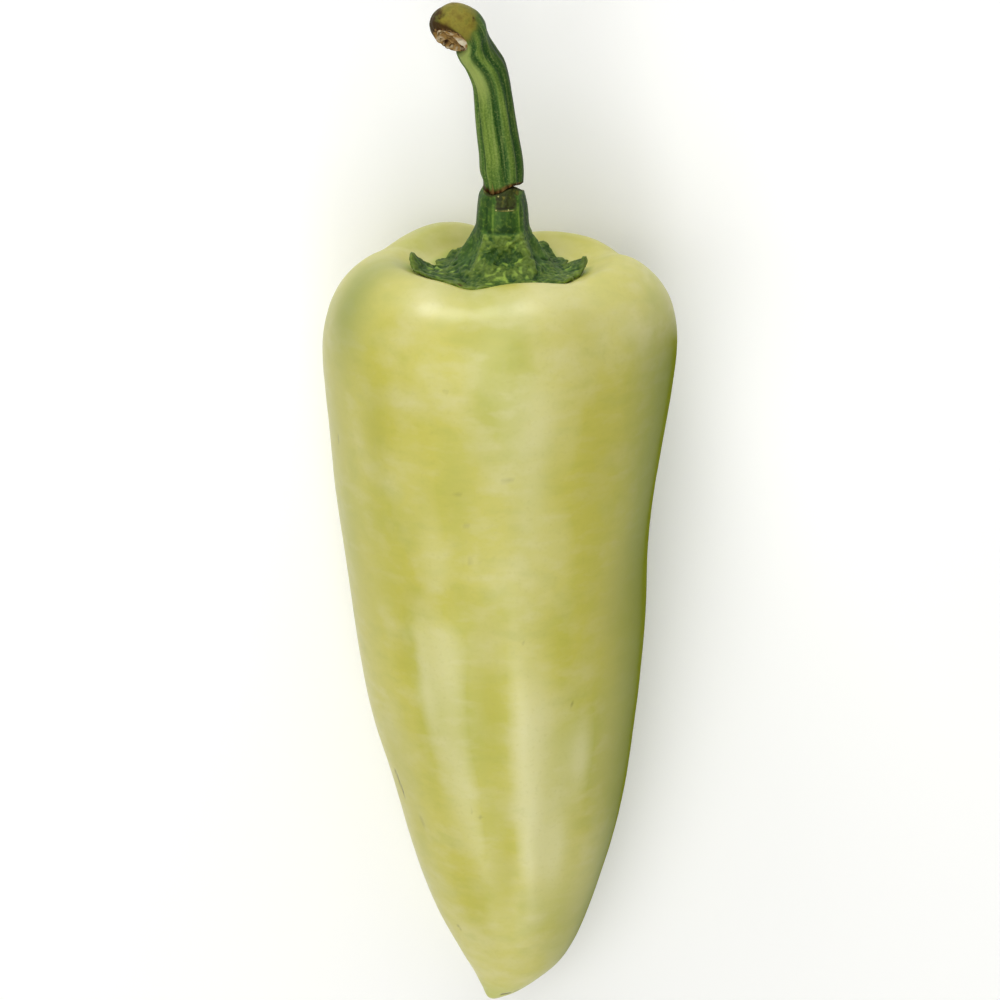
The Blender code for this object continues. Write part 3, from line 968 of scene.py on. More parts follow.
    def rim_lift(self, angle: np.ndarray) -> np.ndarray:
        """How much higher or lower than the meridian the rim of the shoulder stands."""
        lobes = sum(lift * swell(angle, at, width) for at, width, lift, _ in self.lobes)
        return lobes - sum(rim * swell(angle, at, width) for at, width, rim, _, _, _ in self.furrows)

    def shoulder_rise(self, angle: np.ndarray) -> np.ndarray:
        """How far the shoulder stands out of the meridian."""
        lobes = sum(bulge * swell(angle, at, width) for at, width, _, bulge in self.lobes)
        return lobes - sum(deep * swell(angle, at, width) for at, width, _, deep, _, _ in self.furrows)

    def wall_rise(self, angle: np.ndarray, height: np.ndarray) -> np.ndarray:
        """How far the wall below the shoulder stands out of the meridian.

        Args:
            angle: Angles about the axis.
            height: Heights along it.

        Returns:
            The rise in millimetres.
        """
        rise = np.zeros(np.broadcast(angle, height).shape)
        for at, half_width, _, _, depth, run_out in self.furrows:
            along = within(((run_out, run_out + self.furrow_run_out), self.furrow_top), height)
            rise = rise - depth * along * swell(angle, at, half_width)
        for at, half_width, ridge, lowest, highest in self.wall_ridges:
            fade = self.ridge_end * (highest - lowest)
            along = within(((lowest, lowest + fade), (highest, highest - fade)), height)
            rise = rise + ridge * along * swell(angle, at, half_width)
        round_wave = np.sin(3.0 * np.radians(angle) + 0.11 * height)
        waves = self.unevenness * round_wave * np.sin(0.17 * height + 1.3)
        return rise + waves * within(self.wave_stretch, height)

    def hollow_height(self, angle: np.ndarray, radius: np.ndarray) -> np.ndarray:
        """Height of the skin in the hollow on the shoulder.

        Args:
            angle: Angles about the axis.
            radius: Distances from it, inside the crest.

        Returns:
            Heights in millimetres.
        """
        samples = curve(mirrored_ends(self.meridian), np.linspace(0.0, self.crest_row, 400))
        level = np.interp(radius, samples[:, 0], samples[:, 1])
        crest = self.meridian[self.crest_row][0]
        return level + self.rim_lift(angle) * ease(self.hollow_radius, crest, radius)

    def relief(self, angle: np.ndarray, height: np.ndarray, points: np.ndarray) -> np.ndarray:
        """The fine unevenness of the wall: dents, swellings and slow lumps.

        Args:
            angle: Angles about the axis.
            height: Heights along it.
            points: The places of the skin, which the lumps follow.

        Returns:
            How far the skin stands out, in millimetres.
        """
        (slow, slow_mm), (fine, fine_mm) = self.lumps
        lumps = slow * noise_at(points, slow_mm, 2) + fine * noise_at(points + 40.0, fine_mm, 2)
        return lumps + spots(self.dents, angle, height)

    def build(self) -> bpy.types.Object:
        """Makes the fruit.

        Returns:
            The fruit's object.
        """
        angle = np.linspace(0.0, 360.0, self.segments, endpoint=False)[None, :]
        places = np.linspace(0.0, len(self.meridian) - 1, self.rings + 1)
        profile = curve(mirrored_ends(self.meridian), places)
        radius, height = profile[:, :1], profile[:, 1:]
        inside = (places <= self.crest_row)[:, None]
        crest = self.meridian[self.crest_row][0]
        outside_lift = ease(*self.rim_stretch, height)
        lift = np.where(inside, ease(self.hollow_radius, crest, radius), outside_lift)
        height = height + self.rim_lift(angle) * lift
        bulge = self.shoulder_rise(angle) * within(self.shoulder_stretch, height)
        bulge = bulge + self.wall_rise(angle, height)
        radius = radius + np.where(inside, 0.0, bulge)
        turn = np.radians(angle)
        points = np.stack((
            radius * np.cos(turn) + curve(self.bow, height)[..., 0],
            height,
            radius * np.sin(turn) * (1.0 - self.front_flattening),
        ), axis=-1)
        uneven = np.where(inside, ease(*self.even_bed, radius), 1.0) * ease(*self.even_tip, height)
        rise = self.relief(angle, height, points) * uneven - self.draw_in
        scar = np.zeros(height.shape)
        for mark in self.scars:
            reach = float(np.interp(mark.start[1], profile[::-1, 1], profile[::-1, 0]))
            mask = mark.mask(angle, height, reach) * ~inside
            rise = rise - mark.depth * mask
            scar = np.maximum(scar, mark.colour * mask)
        points = points + rise[..., None] * outward(points)
        marks = {
            "relief": self.show_painted_relief(angle, height, inside),
            "halo": self.show_halo(angle, radius, height, inside),
            "scar": scar,
            "flank": self.show_flank(angle, height),
            "rubbed": self.right_side(angle) * ease(*self.rubbed_top, height) * ~inside,
            "wax": self.thick_wax(angle, height, radius - crest),
        }
        piece = make_shell("fruit_skin", points, WaxySkin(), marks)
        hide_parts("fruit")
        return piece

    def show_painted_relief(self, angle: np.ndarray, height: np.ndarray, inside: np.ndarray) -> np.ndarray:
        """Where painted highlight pales the wall's colour on ridges and painted shade deepens it in hollows,
        0.5 being neither.

        Args:
            angle: Angles about the axis.
            height: Heights along it.
            inside: True in the hollow on the shoulder.

        Returns:
            0 in a hollow to 1 on a ridge.
        """
        dents = self.dent_tone * spots(self.dents, angle, height)
        value = self.wall_rise(angle, height) + dents + spots(self.clouds, angle, height)
        return np.where(inside, 0.5, 0.5 + self.rise_tone * value)

    def show_halo(self, angle: np.ndarray, radius: np.ndarray, height: np.ndarray,
                  inside: np.ndarray) -> np.ndarray:
        """Where the skin is lime green: round the calyx and at the tip.

        Args:
            angle: Angles about the axis.
            radius: Distances from it.
            height: Heights along it.
            inside: True in the hollow on the shoulder.

        Returns:
            0 to 1.
        """
        margin, _ = Calyx().margin(angle)
        last, full = self.halo_reach
        round_calyx = np.where(inside, ease(margin + last, margin + full, radius), 0.0)
        return np.clip(round_calyx + self.tip_lime * ease(5.0, 0.5, height), 0.0, 1.0)

    def thick_wax(self, angle: np.ndarray, height: np.ndarray, past_crest: np.ndarray) -> np.ndarray:
        """1 on the front of the shoulder, past its crest, where the wax lies thickest."""
        return plateau(angle, 92.0, 50.0) * ease(87.0, 91.5, height) * ease(0.0, 3.0, past_crest)

    def right_side(self, angle: np.ndarray) -> np.ndarray:
        """1 on the right side, where the wax is rubbed off and shade is painted."""
        return within(self.right_stretch, turn_between(angle, 0.0))

    def show_flank(self, angle: np.ndarray, height: np.ndarray) -> np.ndarray:
        """Where the skin is painted darker: painted shade on the right, greener patches, and a little darker
        underneath.

        Args:
            angle: Angles about the axis.
            height: Heights along it.

        Returns:
            0 to 1.
        """
        right = self.right_painted_shade * self.right_side(angle) * ease(*self.dull_top, height)
        under = self.under_darkening * swell(angle, 270.0, 50.0)
        return np.clip(right + spots(self.green_patches, angle, height) + under, 0.0, 1.0)


@dataclass(frozen=True)
class Crack:
    """The tear across the stalk: wavy, gaping on the right and pinched in on the left."""

    height: float = 103.1
    # Angle, half width, rise
    waves: Rows = ((0.0, 34.0, 0.35), (66.0, 18.0, 0.2), (92.0, 30.0, -0.15), (128.0, 28.0, -0.4),
                   (186.0, 18.0, 0.55))
    # The gap on the right: angle, half width, height of the gap, share of it cut from the lower lip
    notch: tuple[float, float, float, float] = (0.0, 48.0, 1.05, 0.65)
    notch_from: float = 0.45
    # Both lips rise to the front, along the sight through the gap: rise, half width
    notch_slope: Span = (0.95, 75.0)
    # The neck and the stalk's foot are pinched in here: angle, half width, share of the radius
    pinch: tuple[float, float, float] = (186.0, 40.0, 0.15)
    closed_gap: float = 0.1
    # Where both lips are scorched, in front: angle, half width
    front_lip: Span = (78.0, 38.0)

    def level(self, angle: np.ndarray, reach: np.ndarray | float) -> np.ndarray:
        """Height of the tear, wavy at its edge and even inside.

        Args:
            angle: Angles about the axis.
            reach: Share of the way from the axis to the edge.

        Returns:
            Heights in millimetres.
        """
        wave = sum(rise * swell(angle, at, width) for at, width, rise in self.waves)
        at, half_width, size, lower = self.notch
        near = swell(angle, at, half_width)
        slope, slope_width = self.notch_slope
        slope = slope * reach * np.sin(np.radians(angle)) * swell(angle, at, slope_width)
        cut = size * lower * near * ease(self.notch_from, 1.0, reach)
        return self.height + wave * ease(0.0, 1.0, reach) + slope - cut

    def gape(self, angle: np.ndarray, reach: np.ndarray | float) -> np.ndarray:
        """How far the tear stands open, as a height in millimetres."""
        at, half_width, size, _ = self.notch
        return self.closed_gap + size * swell(angle, at, half_width) * ease(self.notch_from, 1.0, reach)


CRACK = Crack()


@dataclass(frozen=True)
class Fold:
    """A crest or a crease of the calyx, along a line of places on it.

    Its rise stands out, or goes in below 0; its tone is painted highlight on the leaf, or painted shade
    below 0.
    """

    half_width: float
    rise: float
    tone: float
    line: tuple[tuple[float, float, float], ...]

    def mask(self, points: np.ndarray) -> np.ndarray:
        """How much of the fold is at places on the calyx.

        Args:
            points: Places about the fruit's axis.

        Returns:
            1 on its line, falling off to 0 beside it.
        """
        away = np.full(points.shape[:-1], np.inf)
        for start, end in zip(self.line, self.line[1:]):
            run = np.subtract(end, start)
            share = np.clip((points - start) @ run / max(run @ run, 1e-9), 0.0, 1.0)
            gap = points - start - share[..., None] * run
            away = np.minimum(away, np.linalg.norm(gap, axis=-1))
        return bell(away, 0.0, self.half_width)


FOLDS = (
    Fold(0.20, 0.12, 0.40, ((-6.98, 93.70, 3.07), (-6.48, 93.63, 1.37), (-5.55, 93.91, 1.91))),
    Fold(0.18, 0.12, 0.35, ((-6.77, 94.14, 5.90), (-6.34, 93.65, 3.33), (-5.66, 93.70, 2.87))),
    Fold(0.20, 0.12, 0.30, ((-6.81, 93.67, -1.50), (-7.26, 93.67, -0.62), (-7.46, 93.69, 1.57))),
    Fold(0.20, 0.14, 0.35, ((-3.28, 94.11, 4.75), (-2.93, 94.71, 4.31), (-2.41, 95.29, 4.28),
                            (-1.84, 95.67, 4.33))),
    Fold(0.25, 0.12, 0.45, ((-1.72, 95.32, 4.60), (-1.38, 94.69, 5.09), (-1.26, 94.05, 5.77),
                            (-1.15, 93.72, 6.49))),
    Fold(0.20, 0.10, 0.30, ((-4.38, 93.96, 3.79), (-3.68, 94.18, 4.14), (-3.39, 93.87, 5.13))),
    Fold(0.20, 0.05, 0.40, ((-6.42, 93.59, 6.55), (-5.03, 93.48, 8.00), (-3.53, 93.74, 9.06))),
    Fold(0.15, 0.06, 0.30, ((-1.50, 97.34, 3.29), (-0.58, 97.61, 3.26), (0.58, 97.16, 3.28),
                            (1.73, 96.90, 3.20))),
    Fold(0.15, 0.06, 0.25, ((-1.61, 96.73, 3.66), (-0.81, 97.10, 3.48), (0.12, 96.73, 3.43),
                            (1.04, 96.59, 3.37))),
    Fold(0.15, 0.12, 0.40, ((1.50, 95.26, 4.15), (1.96, 95.20, 4.17), (2.59, 95.59, 3.86),
                            (2.93, 95.74, 3.76))),
    Fold(0.14, 0.10, 0.35, ((1.72, 94.98, 4.43), (2.30, 95.06, 4.30), (2.99, 95.34, 4.04))),
    Fold(0.12, 0.10, 0.55, ((-0.29, 94.92, 4.74), (0.46, 94.82, 4.80))),
    Fold(0.45, 0.08, 0.30, ((-0.23, 94.06, 5.83), (1.03, 94.26, 5.46), (2.41, 94.69, 4.66))),
    Fold(0.25, 0.10, 0.40, ((2.07, 97.97, 2.77), (2.65, 96.88, 3.14), (3.22, 95.63, 3.77),
                            (3.97, 94.42, 4.34))),
    Fold(0.25, 0.10, 0.35, ((-1.73, 98.05, 2.62), (-2.13, 96.82, 2.91), (-2.42, 95.81, 3.58),
                            (-2.70, 95.29, 3.84))),
    Fold(0.12, 0.06, 0.30, ((5.07, 94.11, 3.26), (5.89, 93.85, 2.55), (6.81, 93.64, 3.09))),
    Fold(0.18, 0.10, 0.25, ((4.60, 93.99, 4.31), (5.41, 93.70, 4.15), (6.23, 93.64, 3.50))),
    Fold(0.20, 0.10, 0.25, ((7.42, 93.64, 0.97), (8.13, 93.78, -0.24), (9.07, 94.03, -1.05))),
    Fold(0.20, 0.10, 0.20, ((-9.43, 94.63, 4.46), (-8.50, 94.70, 5.13), (-7.80, 94.28, 5.74))),
    Fold(0.15, 0.08, 0.30, ((5.28, 93.95, -6.09), (6.21, 93.68, -4.91))),
    Fold(0.15, 0.08, 0.25, ((-6.79, 93.67, -4.19), (-5.98, 93.75, -5.07), (-4.93, 93.80, -5.33))),
    Fold(0.20, -0.16, -0.40, ((-7.63, 93.86, -1.65), (-7.71, 93.74, 0.46), (-7.33, 93.72, 2.51))),
    Fold(0.20, -0.18, -0.45, ((-5.08, 94.08, 2.31), (-4.61, 93.80, 4.05), (-4.01, 93.68, 6.36),
                              (-2.74, 93.78, 8.17))),
    Fold(0.80, -0.15, -0.14, ((-1.15, 95.71, 4.26), (1.04, 95.61, 3.91))),
    Fold(0.15, -0.15, -0.40, ((-0.57, 94.68, 5.05), (0.11, 94.54, 5.18))),
    Fold(0.22, -0.18, -0.45, ((4.04, 95.41, 2.14), (4.17, 94.78, 3.71), (4.43, 94.03, 4.44),
                              (4.02, 93.72, 5.46))),
    Fold(0.18, -0.16, -0.40, ((6.37, 93.67, -3.63), (6.80, 93.68, -0.58), (7.24, 93.63, 1.37))),
    Fold(0.18, -0.15, -0.40, ((-7.79, 93.80, -0.60), (-6.64, 93.71, -2.20), (-5.10, 94.83, 0.49))),
    Fold(0.20, -0.05, -0.35, ((-9.29, 94.44, -0.23), (-7.90, 93.83, -0.50))),
    Fold(0.20, -0.05, -0.35, ((7.44, 93.66, -1.09), (8.27, 93.81, -1.86), (10.04, 95.08, 2.67))),
    Fold(0.15, -0.05, -0.30, ((-0.46, 93.68, 6.77), (1.15, 93.71, 6.59), (3.90, 93.67, 5.78))),
    Fold(0.18, -0.15, -0.35, ((-3.46, 95.06, 2.61), (-3.69, 94.56, 3.37), (-3.45, 94.31, 4.19))),
    Fold(0.20, -0.08, -0.30, ((-1.38, 98.55, 2.70), (0.00, 98.43, 3.11), (1.84, 98.44, 2.73))),
    Fold(0.18, -0.12, -0.30, ((-6.74, 93.63, -0.35), (-6.16, 93.77, -0.28), (-5.32, 94.22, 1.33))),
    Fold(0.18, -0.12, -0.30, ((4.86, 94.98, 1.46), (5.56, 94.61, 0.99), (6.41, 93.65, -2.43))),
)


@dataclass(frozen=True)
class Calyx:
    """The calyx: a short fluted neck that flares into a crumpled disc with curled points."""

    segments: int = 340
    crack_rings: int = 12
    outside_rings: int = 150
    rim_rings: int = 8
    underside_rings: int = 20
    across: float = 0.25
    # Radius and height of the outside, from the crack down the neck and out along the disc
    outside: Rows = (
        (2.55, 102.9), (2.68, 102.2), (2.86, 101.2), (2.98, 100.1), (3.06, 99.0), (3.25, 98.0),
        (3.6, 97.0), (4.1, 96.0), (4.75, 95.2), (5.7, 94.5), (7.1, 94.1), (8.6, 94.0),
    )
    flare_radius: float = 4.8
    disc_forward: float = 0.5
    margin_radius: float = 8.5
    thickness: float = 0.55
    skin_gap: float = 0.1
    rim_bulge: float = 0.1
    # Angle, half width, reach past the margin
    points: Rows = ((12.0, 16.0, 1.2), (38.0, 9.0, 1.15), (56.0, 17.0, 0.5), (110.0, 24.0, 0.75),
                    (169.0, 13.0, 2.1), (151.0, 9.0, 2.0), (193.0, 10.0, -0.9), (236.0, 18.0, 0.3),
                    (303.0, 9.0, 0.9), (345.0, 9.0, -0.9))
    # Where the margin curls up: angle, half width, rise
    curls: Rows = ((5.0, 12.0, 1.35), (174.5, 9.0, 1.55), (236.0, 14.0, 0.3), (303.0, 8.0, 0.8),
                   (30.0, 7.0, 0.2), (152.0, 7.0, 0.2))
    curl_from: float = 0.74
    underside_curl: float = 0.5
    margin_thinning: float = 0.6
    # Waves round the margin: how many, turned by, size
    margin_crinkle: Rows = ((11.0, 40.0, 0.09), (17.0, 110.0, 0.07), (29.0, 20.0, 0.05))
    lump: float = 0.17
    lump_mm: float = 1.7
    crumple: float = 0.09
    crumple_mm: float = 0.85
    pucker: float = 0.05
    pucker_mm: float = 0.45
    # Ridges that run down the flare to the points
    flare_ridges: tuple[float, ...] = (0.0, 48.0, 118.0, 180.0, 238.0, 303.0)
    flare_ridge_half_width: float = 15.0
    flare_ridge: float = 0.9
    flare_ridge_middle: float = 0.45
    # Heights of the leaf and the neck, and where the flare is, by height and by radius
    leaf_top: Span = (98.9, 97.6)
    neck_stretch: Stretch = ((97.0, 99.5), (103.0, 102.0))
    flare_foot: Span = (94.4, 95.0)
    flare_edge: Span = (8.5, 5.5)
    neck_flutes: int = 7
    neck_flute_depth: float = 0.07
    # The neck's fine fibres: rise, size in millimetres
    fibre: Span = (0.03, 0.5)
    # Smooth sides of the flare, darkened with painted shade: angle, half width
    smooth_sides: Rows = ((20.0, 19.0), (158.0, 24.0), (220.0, 24.0), (330.0, 24.0))
    # Lines down the flare, paled with painted highlight: angle, half width, lowest and highest height
    pale_lines: Rows = ((125.0, 5.0, 94.6, 98.6), (49.5, 5.5, 94.2, 98.6), (88.0, 24.0, 97.0, 98.5),
                        (112.0, 3.0, 98.5, 101.6), (51.0, 3.0, 98.5, 101.3), (88.0, 28.0, 94.3, 95.0))
    line_rise: float = 0.08
    # Hollows, darkened with painted shade: angle, height, half width, half height, share
    shaded_hollows: Rows = ((87.0, 95.75, 11.0, 0.6, 1.0), (88.0, 98.9, 34.0, 0.4, 1.0),
                          (142.0, 94.3, 6.0, 0.5, 1.0), (31.0, 94.8, 5.0, 0.6, 1.0))
    hollow_depth: float = 0.22
    # Dark flecks near the margin: angle, distance from the middle, half width, half length, share
    flecks: Rows = ((123.4, 9.2, 2.2, 0.3, 1.0), (48.8, 9.2, 2.2, 0.3, 1.0))
    # How strongly each form pales the leaf with painted highlight, or darkens it with painted shade below 0
    fold_tone: float = 1.25
    lump_tone: float = 0.3
    crumple_tone: float = 0.26
    pucker_tone: float = 0.35
    line_tone: float = 0.3
    hollow_tone: float = -0.3
    smooth_tone: float = -0.22
    flute_tone: float = 0.14
    fibre_tone: float = 0.35
    neck_tone: float = -0.2
    # The leaf is paler in front, a painted highlight: angle, half width, tone
    front_tone: tuple[float, float, float] = (88.0, 45.0, 0.17)
    # Where the bark is torn off under the crack: angles, heights, depth
    bare_patch: tuple[Span, Span, float] = ((55.0, 105.0), (101.25, 103.6), 0.14)
    # How softly the patch's sides and its foot end, in degrees and in millimetres
    bare_softness: Span = (7.0, 0.08)
    # The waves that fray its sides and its foot: waves, size
    frayed_sides: Rows = ((5.0, 1.6), (13.0, 0.8))
    frayed_foot: Rows = ((9.0, 0.05), (23.0, 0.03))
    # The pale cut below the patch and the dark slit above it: height from the foot, half height
    pale_cut: Span = (-0.17, 0.11)
    dark_slit: Span = (0.08, 0.12)
    # Torn fibres left of the patch: angle, half width, length down from the crack
    torn_fibres: tuple[float, float, float] = (117.0, 13.0, 1.6)
    # Specks of torn bark: angle, height, half width, tone
    specks: Rows = ((48.3, 103.0, 0.32, 0.75), (57.0, 103.3, 0.2, 0.7), (100.6, 102.7, 0.13, 1.0),
                    (104.0, 101.15, 0.12, 1.0), (75.0, 101.2, 0.1, 1.0))
    # The neck's radius at the specks
    speck_radius: float = 2.7

    def margin(self, angle: np.ndarray) -> tuple[np.ndarray, np.ndarray]:
        """The calyx's edge.

        Args:
            angle: Angles about the axis.

        Returns:
            The edge's radius and how far it curls up, in millimetres.
        """
        crinkle = sum(size * np.sin(np.radians(count * angle + turned))
                      for count, turned, size in self.margin_crinkle)
        radius = self.margin_radius + crinkle
        curl = crinkle
        for at, half_width, reach in self.points:
            radius = radius + reach * plateau(angle, at, half_width)
        for at, half_width, rise in self.curls:
            curl = curl + rise * swell(angle, at, half_width)
        return radius, curl

    def leaf(self, share: np.ndarray | float) -> np.ndarray:
        """Thickness of the disc, which thins to its margin, at shares of the way there."""
        return self.thickness * (1.0 - self.margin_thinning * ease(0.7, 1.0, share))

    def bed(self, angle: np.ndarray, radius: np.ndarray, forward: np.ndarray | float) -> np.ndarray:
        """Height of the underside, just above the skin that it lies on.

        Args:
            angle: Angles about the calyx's middle.
            radius: Distances from it.
            forward: How far the disc stands forward there.

        Returns:
            Heights in millimetres.
        """
        fruit = Fruit()
        turn = np.radians(angle)
        across = self.across + radius * np.cos(turn) - fruit.bow[-1][1]
        front = (radius * np.sin(turn) + forward) / (1.0 - fruit.front_flattening)
        over = np.degrees(np.arctan2(front, across))
        return self.skin_gap + fruit.hollow_height(over, np.hypot(front, across))

    def bare(self, angle: np.ndarray, height: np.ndarray) -> np.ndarray:
        """Where the bark is torn off under the crack.

        Args:
            angle: Angles about the calyx's middle.
            height: Heights.

        Returns:
            1 on the bare wood, falling off to 0 at its frayed edges.
        """
        (left, right), (low, high), _ = self.bare_patch
        side, foot = self.bare_softness
        ragged = angle + sum(size * np.sin(count * height) for count, size in self.frayed_sides)
        sides = ease(left - side, left + side, ragged) * ease(right + side, right - side, ragged)
        jagged = height + sum(size * np.sin(np.radians(count * angle))
                              for count, size in self.frayed_foot)
        return sides * ease(low - foot, low + foot, jagged) * ease(high + 0.1, high, height)

    def torn_bark(self, angle: np.ndarray, height: np.ndarray, strands: np.ndarray,
                  grains: np.ndarray) -> tuple[np.ndarray, np.ndarray]:
        """The brown marks round the bare patch, besides the patch itself.

        Args:
            angle: Angles about the calyx's middle.
            height: Heights.
            strands: Noise drawn out along the neck.
            grains: Fine noise.

        Returns:
            How much of a mark is at each place, and how pale torn bark is there.
        """
        below_crack = CRACK.level(angle, 1.0) - height
        lip = plateau(angle, *CRACK.front_lip) * ease(0.16, 0.0, below_crack)
        middle, half_width, length = self.torn_fibres
        fibres = swell(angle, middle, half_width) * ease(length, 0.0, below_crack)
        fibres = fibres * ease(0.0, 0.35, strands)
        tone = 0.42 + 0.5 * grains
        wood = np.clip(0.45 * lip + 0.9 * fibres, 0.0, 1.0)
        (left, right), (low, _), _ = self.bare_patch
        # Below the patch the bark is cut pale, and a dark slit runs along its foot
        under = plateau(angle, (left + right) / 2.0, (right - left) / 2.0)
        cut = under * bell(height - low, *self.pale_cut)
        tone = tone * (1.0 - cut) + cut * (0.95 + 0.1 * grains)
        wood = np.maximum(wood, 0.75 * cut)
        tone = tone * (1.0 - under * bell(height - low, *self.dark_slit))
        mm_a_degree = math.radians(self.speck_radius)
        for at, middle, half_width, pale in self.specks:
            away = np.hypot(turn_between(angle, at) * mm_a_degree, height - middle)
            mask = np.exp(-((away / half_width) ** 4))
            tone = tone * (1.0 - mask) + pale * mask
            wood = np.maximum(wood, mask)
        return wood, tone

    def crack_face(self, angle: np.ndarray) -> np.ndarray:
        """The torn face on top of the neck, from its middle to its edge.

        Args:
            angle: Angles about the calyx's middle.

        Returns:
            Its rings of points.
        """
        reach = np.linspace(0.0, 1.0, self.crack_rings + 1)[:, None]
        at, half_width, size = CRACK.pinch
        radius = self.outside[0][0] * (1.0 - size * swell(angle, at, half_width)) * reach
        return self.around(angle, radius, CRACK.level(angle, reach), 0.0)

    def outer_face(self, angle: np.ndarray) -> np.ndarray:
        """The outside, down the neck and out along the disc.

        Args:
            angle: Angles about the calyx's middle.

        Returns:
            Its rings of points.
        """
        share = np.linspace(0.0, len(self.outside) - 1, self.outside_rings + 1)[1:]
        profile = curve(numbered(self.outside), share)
        radius, height = profile[:, :1], profile[:, 1:]
        at, half_width, size = CRACK.pinch
        radius = radius * (1.0 - size * swell(angle, at, half_width) * ease(101.8, 103.0, height))
        height = height + (CRACK.level(angle, 1.0) - CRACK.height) * ease(100.0, 103.0, height)
        ridge = sum(swell(angle, at, self.flare_ridge_half_width) for at in self.flare_ridges)
        disc = self.outside[-1][0]
        on_flare = ease(99.0, 95.8, height) * ease(disc, self.flare_radius, radius)
        radius = radius + self.flare_ridge * (ridge - self.flare_ridge_middle) * on_flare
        edge, curl = self.margin(angle)
        outward_share = ease(self.flare_radius, disc, radius)
        radius = radius + (edge - disc) * outward_share
        forward = self.disc_forward * outward_share
        lying = self.bed(angle, radius, forward) + self.leaf(radius / edge)
        height = height + (lying - height) * ease(self.flare_radius, 7.0, radius)
        height = height + curl * ease(self.curl_from, 1.0, radius / edge)
        return self.around(angle, radius, height, forward)

    def rim_face(self, angle: np.ndarray) -> np.ndarray:
        """The rounded rim between the outside and the underside.

        Args:
            angle: Angles about the calyx's middle.

        Returns:
            Its rings of points.
        """
        edge, curl = self.margin(angle)
        turn = np.linspace(0.0, math.pi, self.rim_rings + 2)[1:-1, None]
        radius = edge + self.rim_bulge * np.sin(turn)
        bed = self.bed(angle, edge, self.disc_forward)
        low = bed + self.underside_curl * curl
        high = bed + self.leaf(1.0) + curl
        height = low + (high - low) * (1.0 + np.cos(turn)) / 2.0
        return self.around(angle, radius, height, self.disc_forward)

    def lower_face(self, angle: np.ndarray) -> np.ndarray:
        """The underside, from the rim in to its middle.

        Args:
            angle: Angles about the calyx's middle.

        Returns:
            Its rings of points.
        """
        edge, curl = self.margin(angle)
        inward = np.linspace(0.0, 1.0, self.underside_rings + 1)[:, None]
        radius = edge * (1.0 - inward) ** 0.7
        forward = self.disc_forward * ease(self.flare_radius, self.outside[-1][0], radius)
        height = self.bed(angle, radius, forward)
        height = height + self.underside_curl * curl * ease(self.curl_from, 1.0, radius / edge)
        return self.around(angle, radius, height, forward)

    def around(self, angle: np.ndarray, radius: np.ndarray, height: np.ndarray,
               forward: np.ndarray | float) -> np.ndarray:
        """Places round the calyx's middle.

        Args:
            angle: Angles about it.
            radius: Distances from it.
            height: Heights.
            forward: How far each ring stands forward.

        Returns:
            Points with the axes last.
        """
        turn = np.radians(angle)
        return np.stack((self.across + radius * np.cos(turn), height,
                         radius * np.sin(turn) + forward), axis=-1)

    def build(self) -> bpy.types.Object:
        """Makes the calyx.

        Returns:
            The calyx's object.
        """
        angle = np.linspace(0.0, 360.0, self.segments, endpoint=False)[None, :]
        zones = (self.crack_face(angle), self.outer_face(angle), self.rim_face(angle),
                 self.lower_face(angle))
        points = np.concatenate(zones)
        on_top = by_zone(zones, (0.0, 1.0, 0.8, 0.0))
        torn = by_zone(zones, (1.0, 0.0, 0.0, 0.0))
        height = points[..., 1]
        radius = np.hypot(points[..., 0] - self.across, points[..., 2])
        edge, _ = self.margin(angle)
        on_leaf = on_top * ease(*self.leaf_top, height)
        on_neck = on_top * within(self.neck_stretch, height)
        on_flare = ease(*self.flare_foot, height) * ease(*self.flare_edge, radius)
        smooth = sum(swell(angle, at, width) for at, width in self.smooth_sides) * on_flare
        rough = np.clip(1.0 - 0.85 * smooth, 0.0, 1.0) * on_leaf
        lumps = noise_at(points, self.lump_mm, 2)
        crumples = 1.0 - 2.8 * np.abs(noise_at(points + 5.0, self.crumple_mm, 2))
        puckers = noise_at(points + 17.0, self.pucker_mm, 2)
        flutes = np.cos(np.radians(self.neck_flutes * angle + 20.0))
        fibre, fibre_mm = self.fibre
        fibres = noise_at(points * (1.0, 0.12, 1.0), fibre_mm, 2)
        lines = sum(
            swell(angle, at, width) * within(((low - 0.2, low + 0.3), (high + 0.3, high - 0.4)), height)
            for at, width, low, high in self.pale_lines
        )
        hollows = spots(self.shaded_hollows, angle, height)
        bare = self.bare(angle, height) * on_top
        masks = [on_top * fold.mask(points) for fold in FOLDS]
        folded = sum(fold.rise * mask for fold, mask in zip(FOLDS, masks))
        shades = sum(fold.tone * mask for fold, mask in zip(FOLDS, masks))
        rise = rough * (self.lump * lumps + self.crumple * crumples + self.pucker * puckers) + folded
        rise = rise + on_leaf * (self.line_rise * lines - self.hollow_depth * hollows * on_flare)
        rise = rise + on_neck * (self.neck_flute_depth * flutes + fibre * fibres)
        rise = rise - self.bare_patch[2] * bare * (1.0 + 0.4 * puckers)
        points = points + rise[..., None] * outward(points)
        wood, tone = self.torn_bark(angle, height, fibres, puckers)
        texture = self.crumple_tone * crumples + self.lump_tone * lumps + self.pucker_tone * puckers
        forms = self.line_tone * lines + self.hollow_tone * hollows + self.smooth_tone * smooth
        front, front_width, front_tone = self.front_tone
        neck = self.flute_tone * flutes + self.fibre_tone * fibres + self.neck_tone
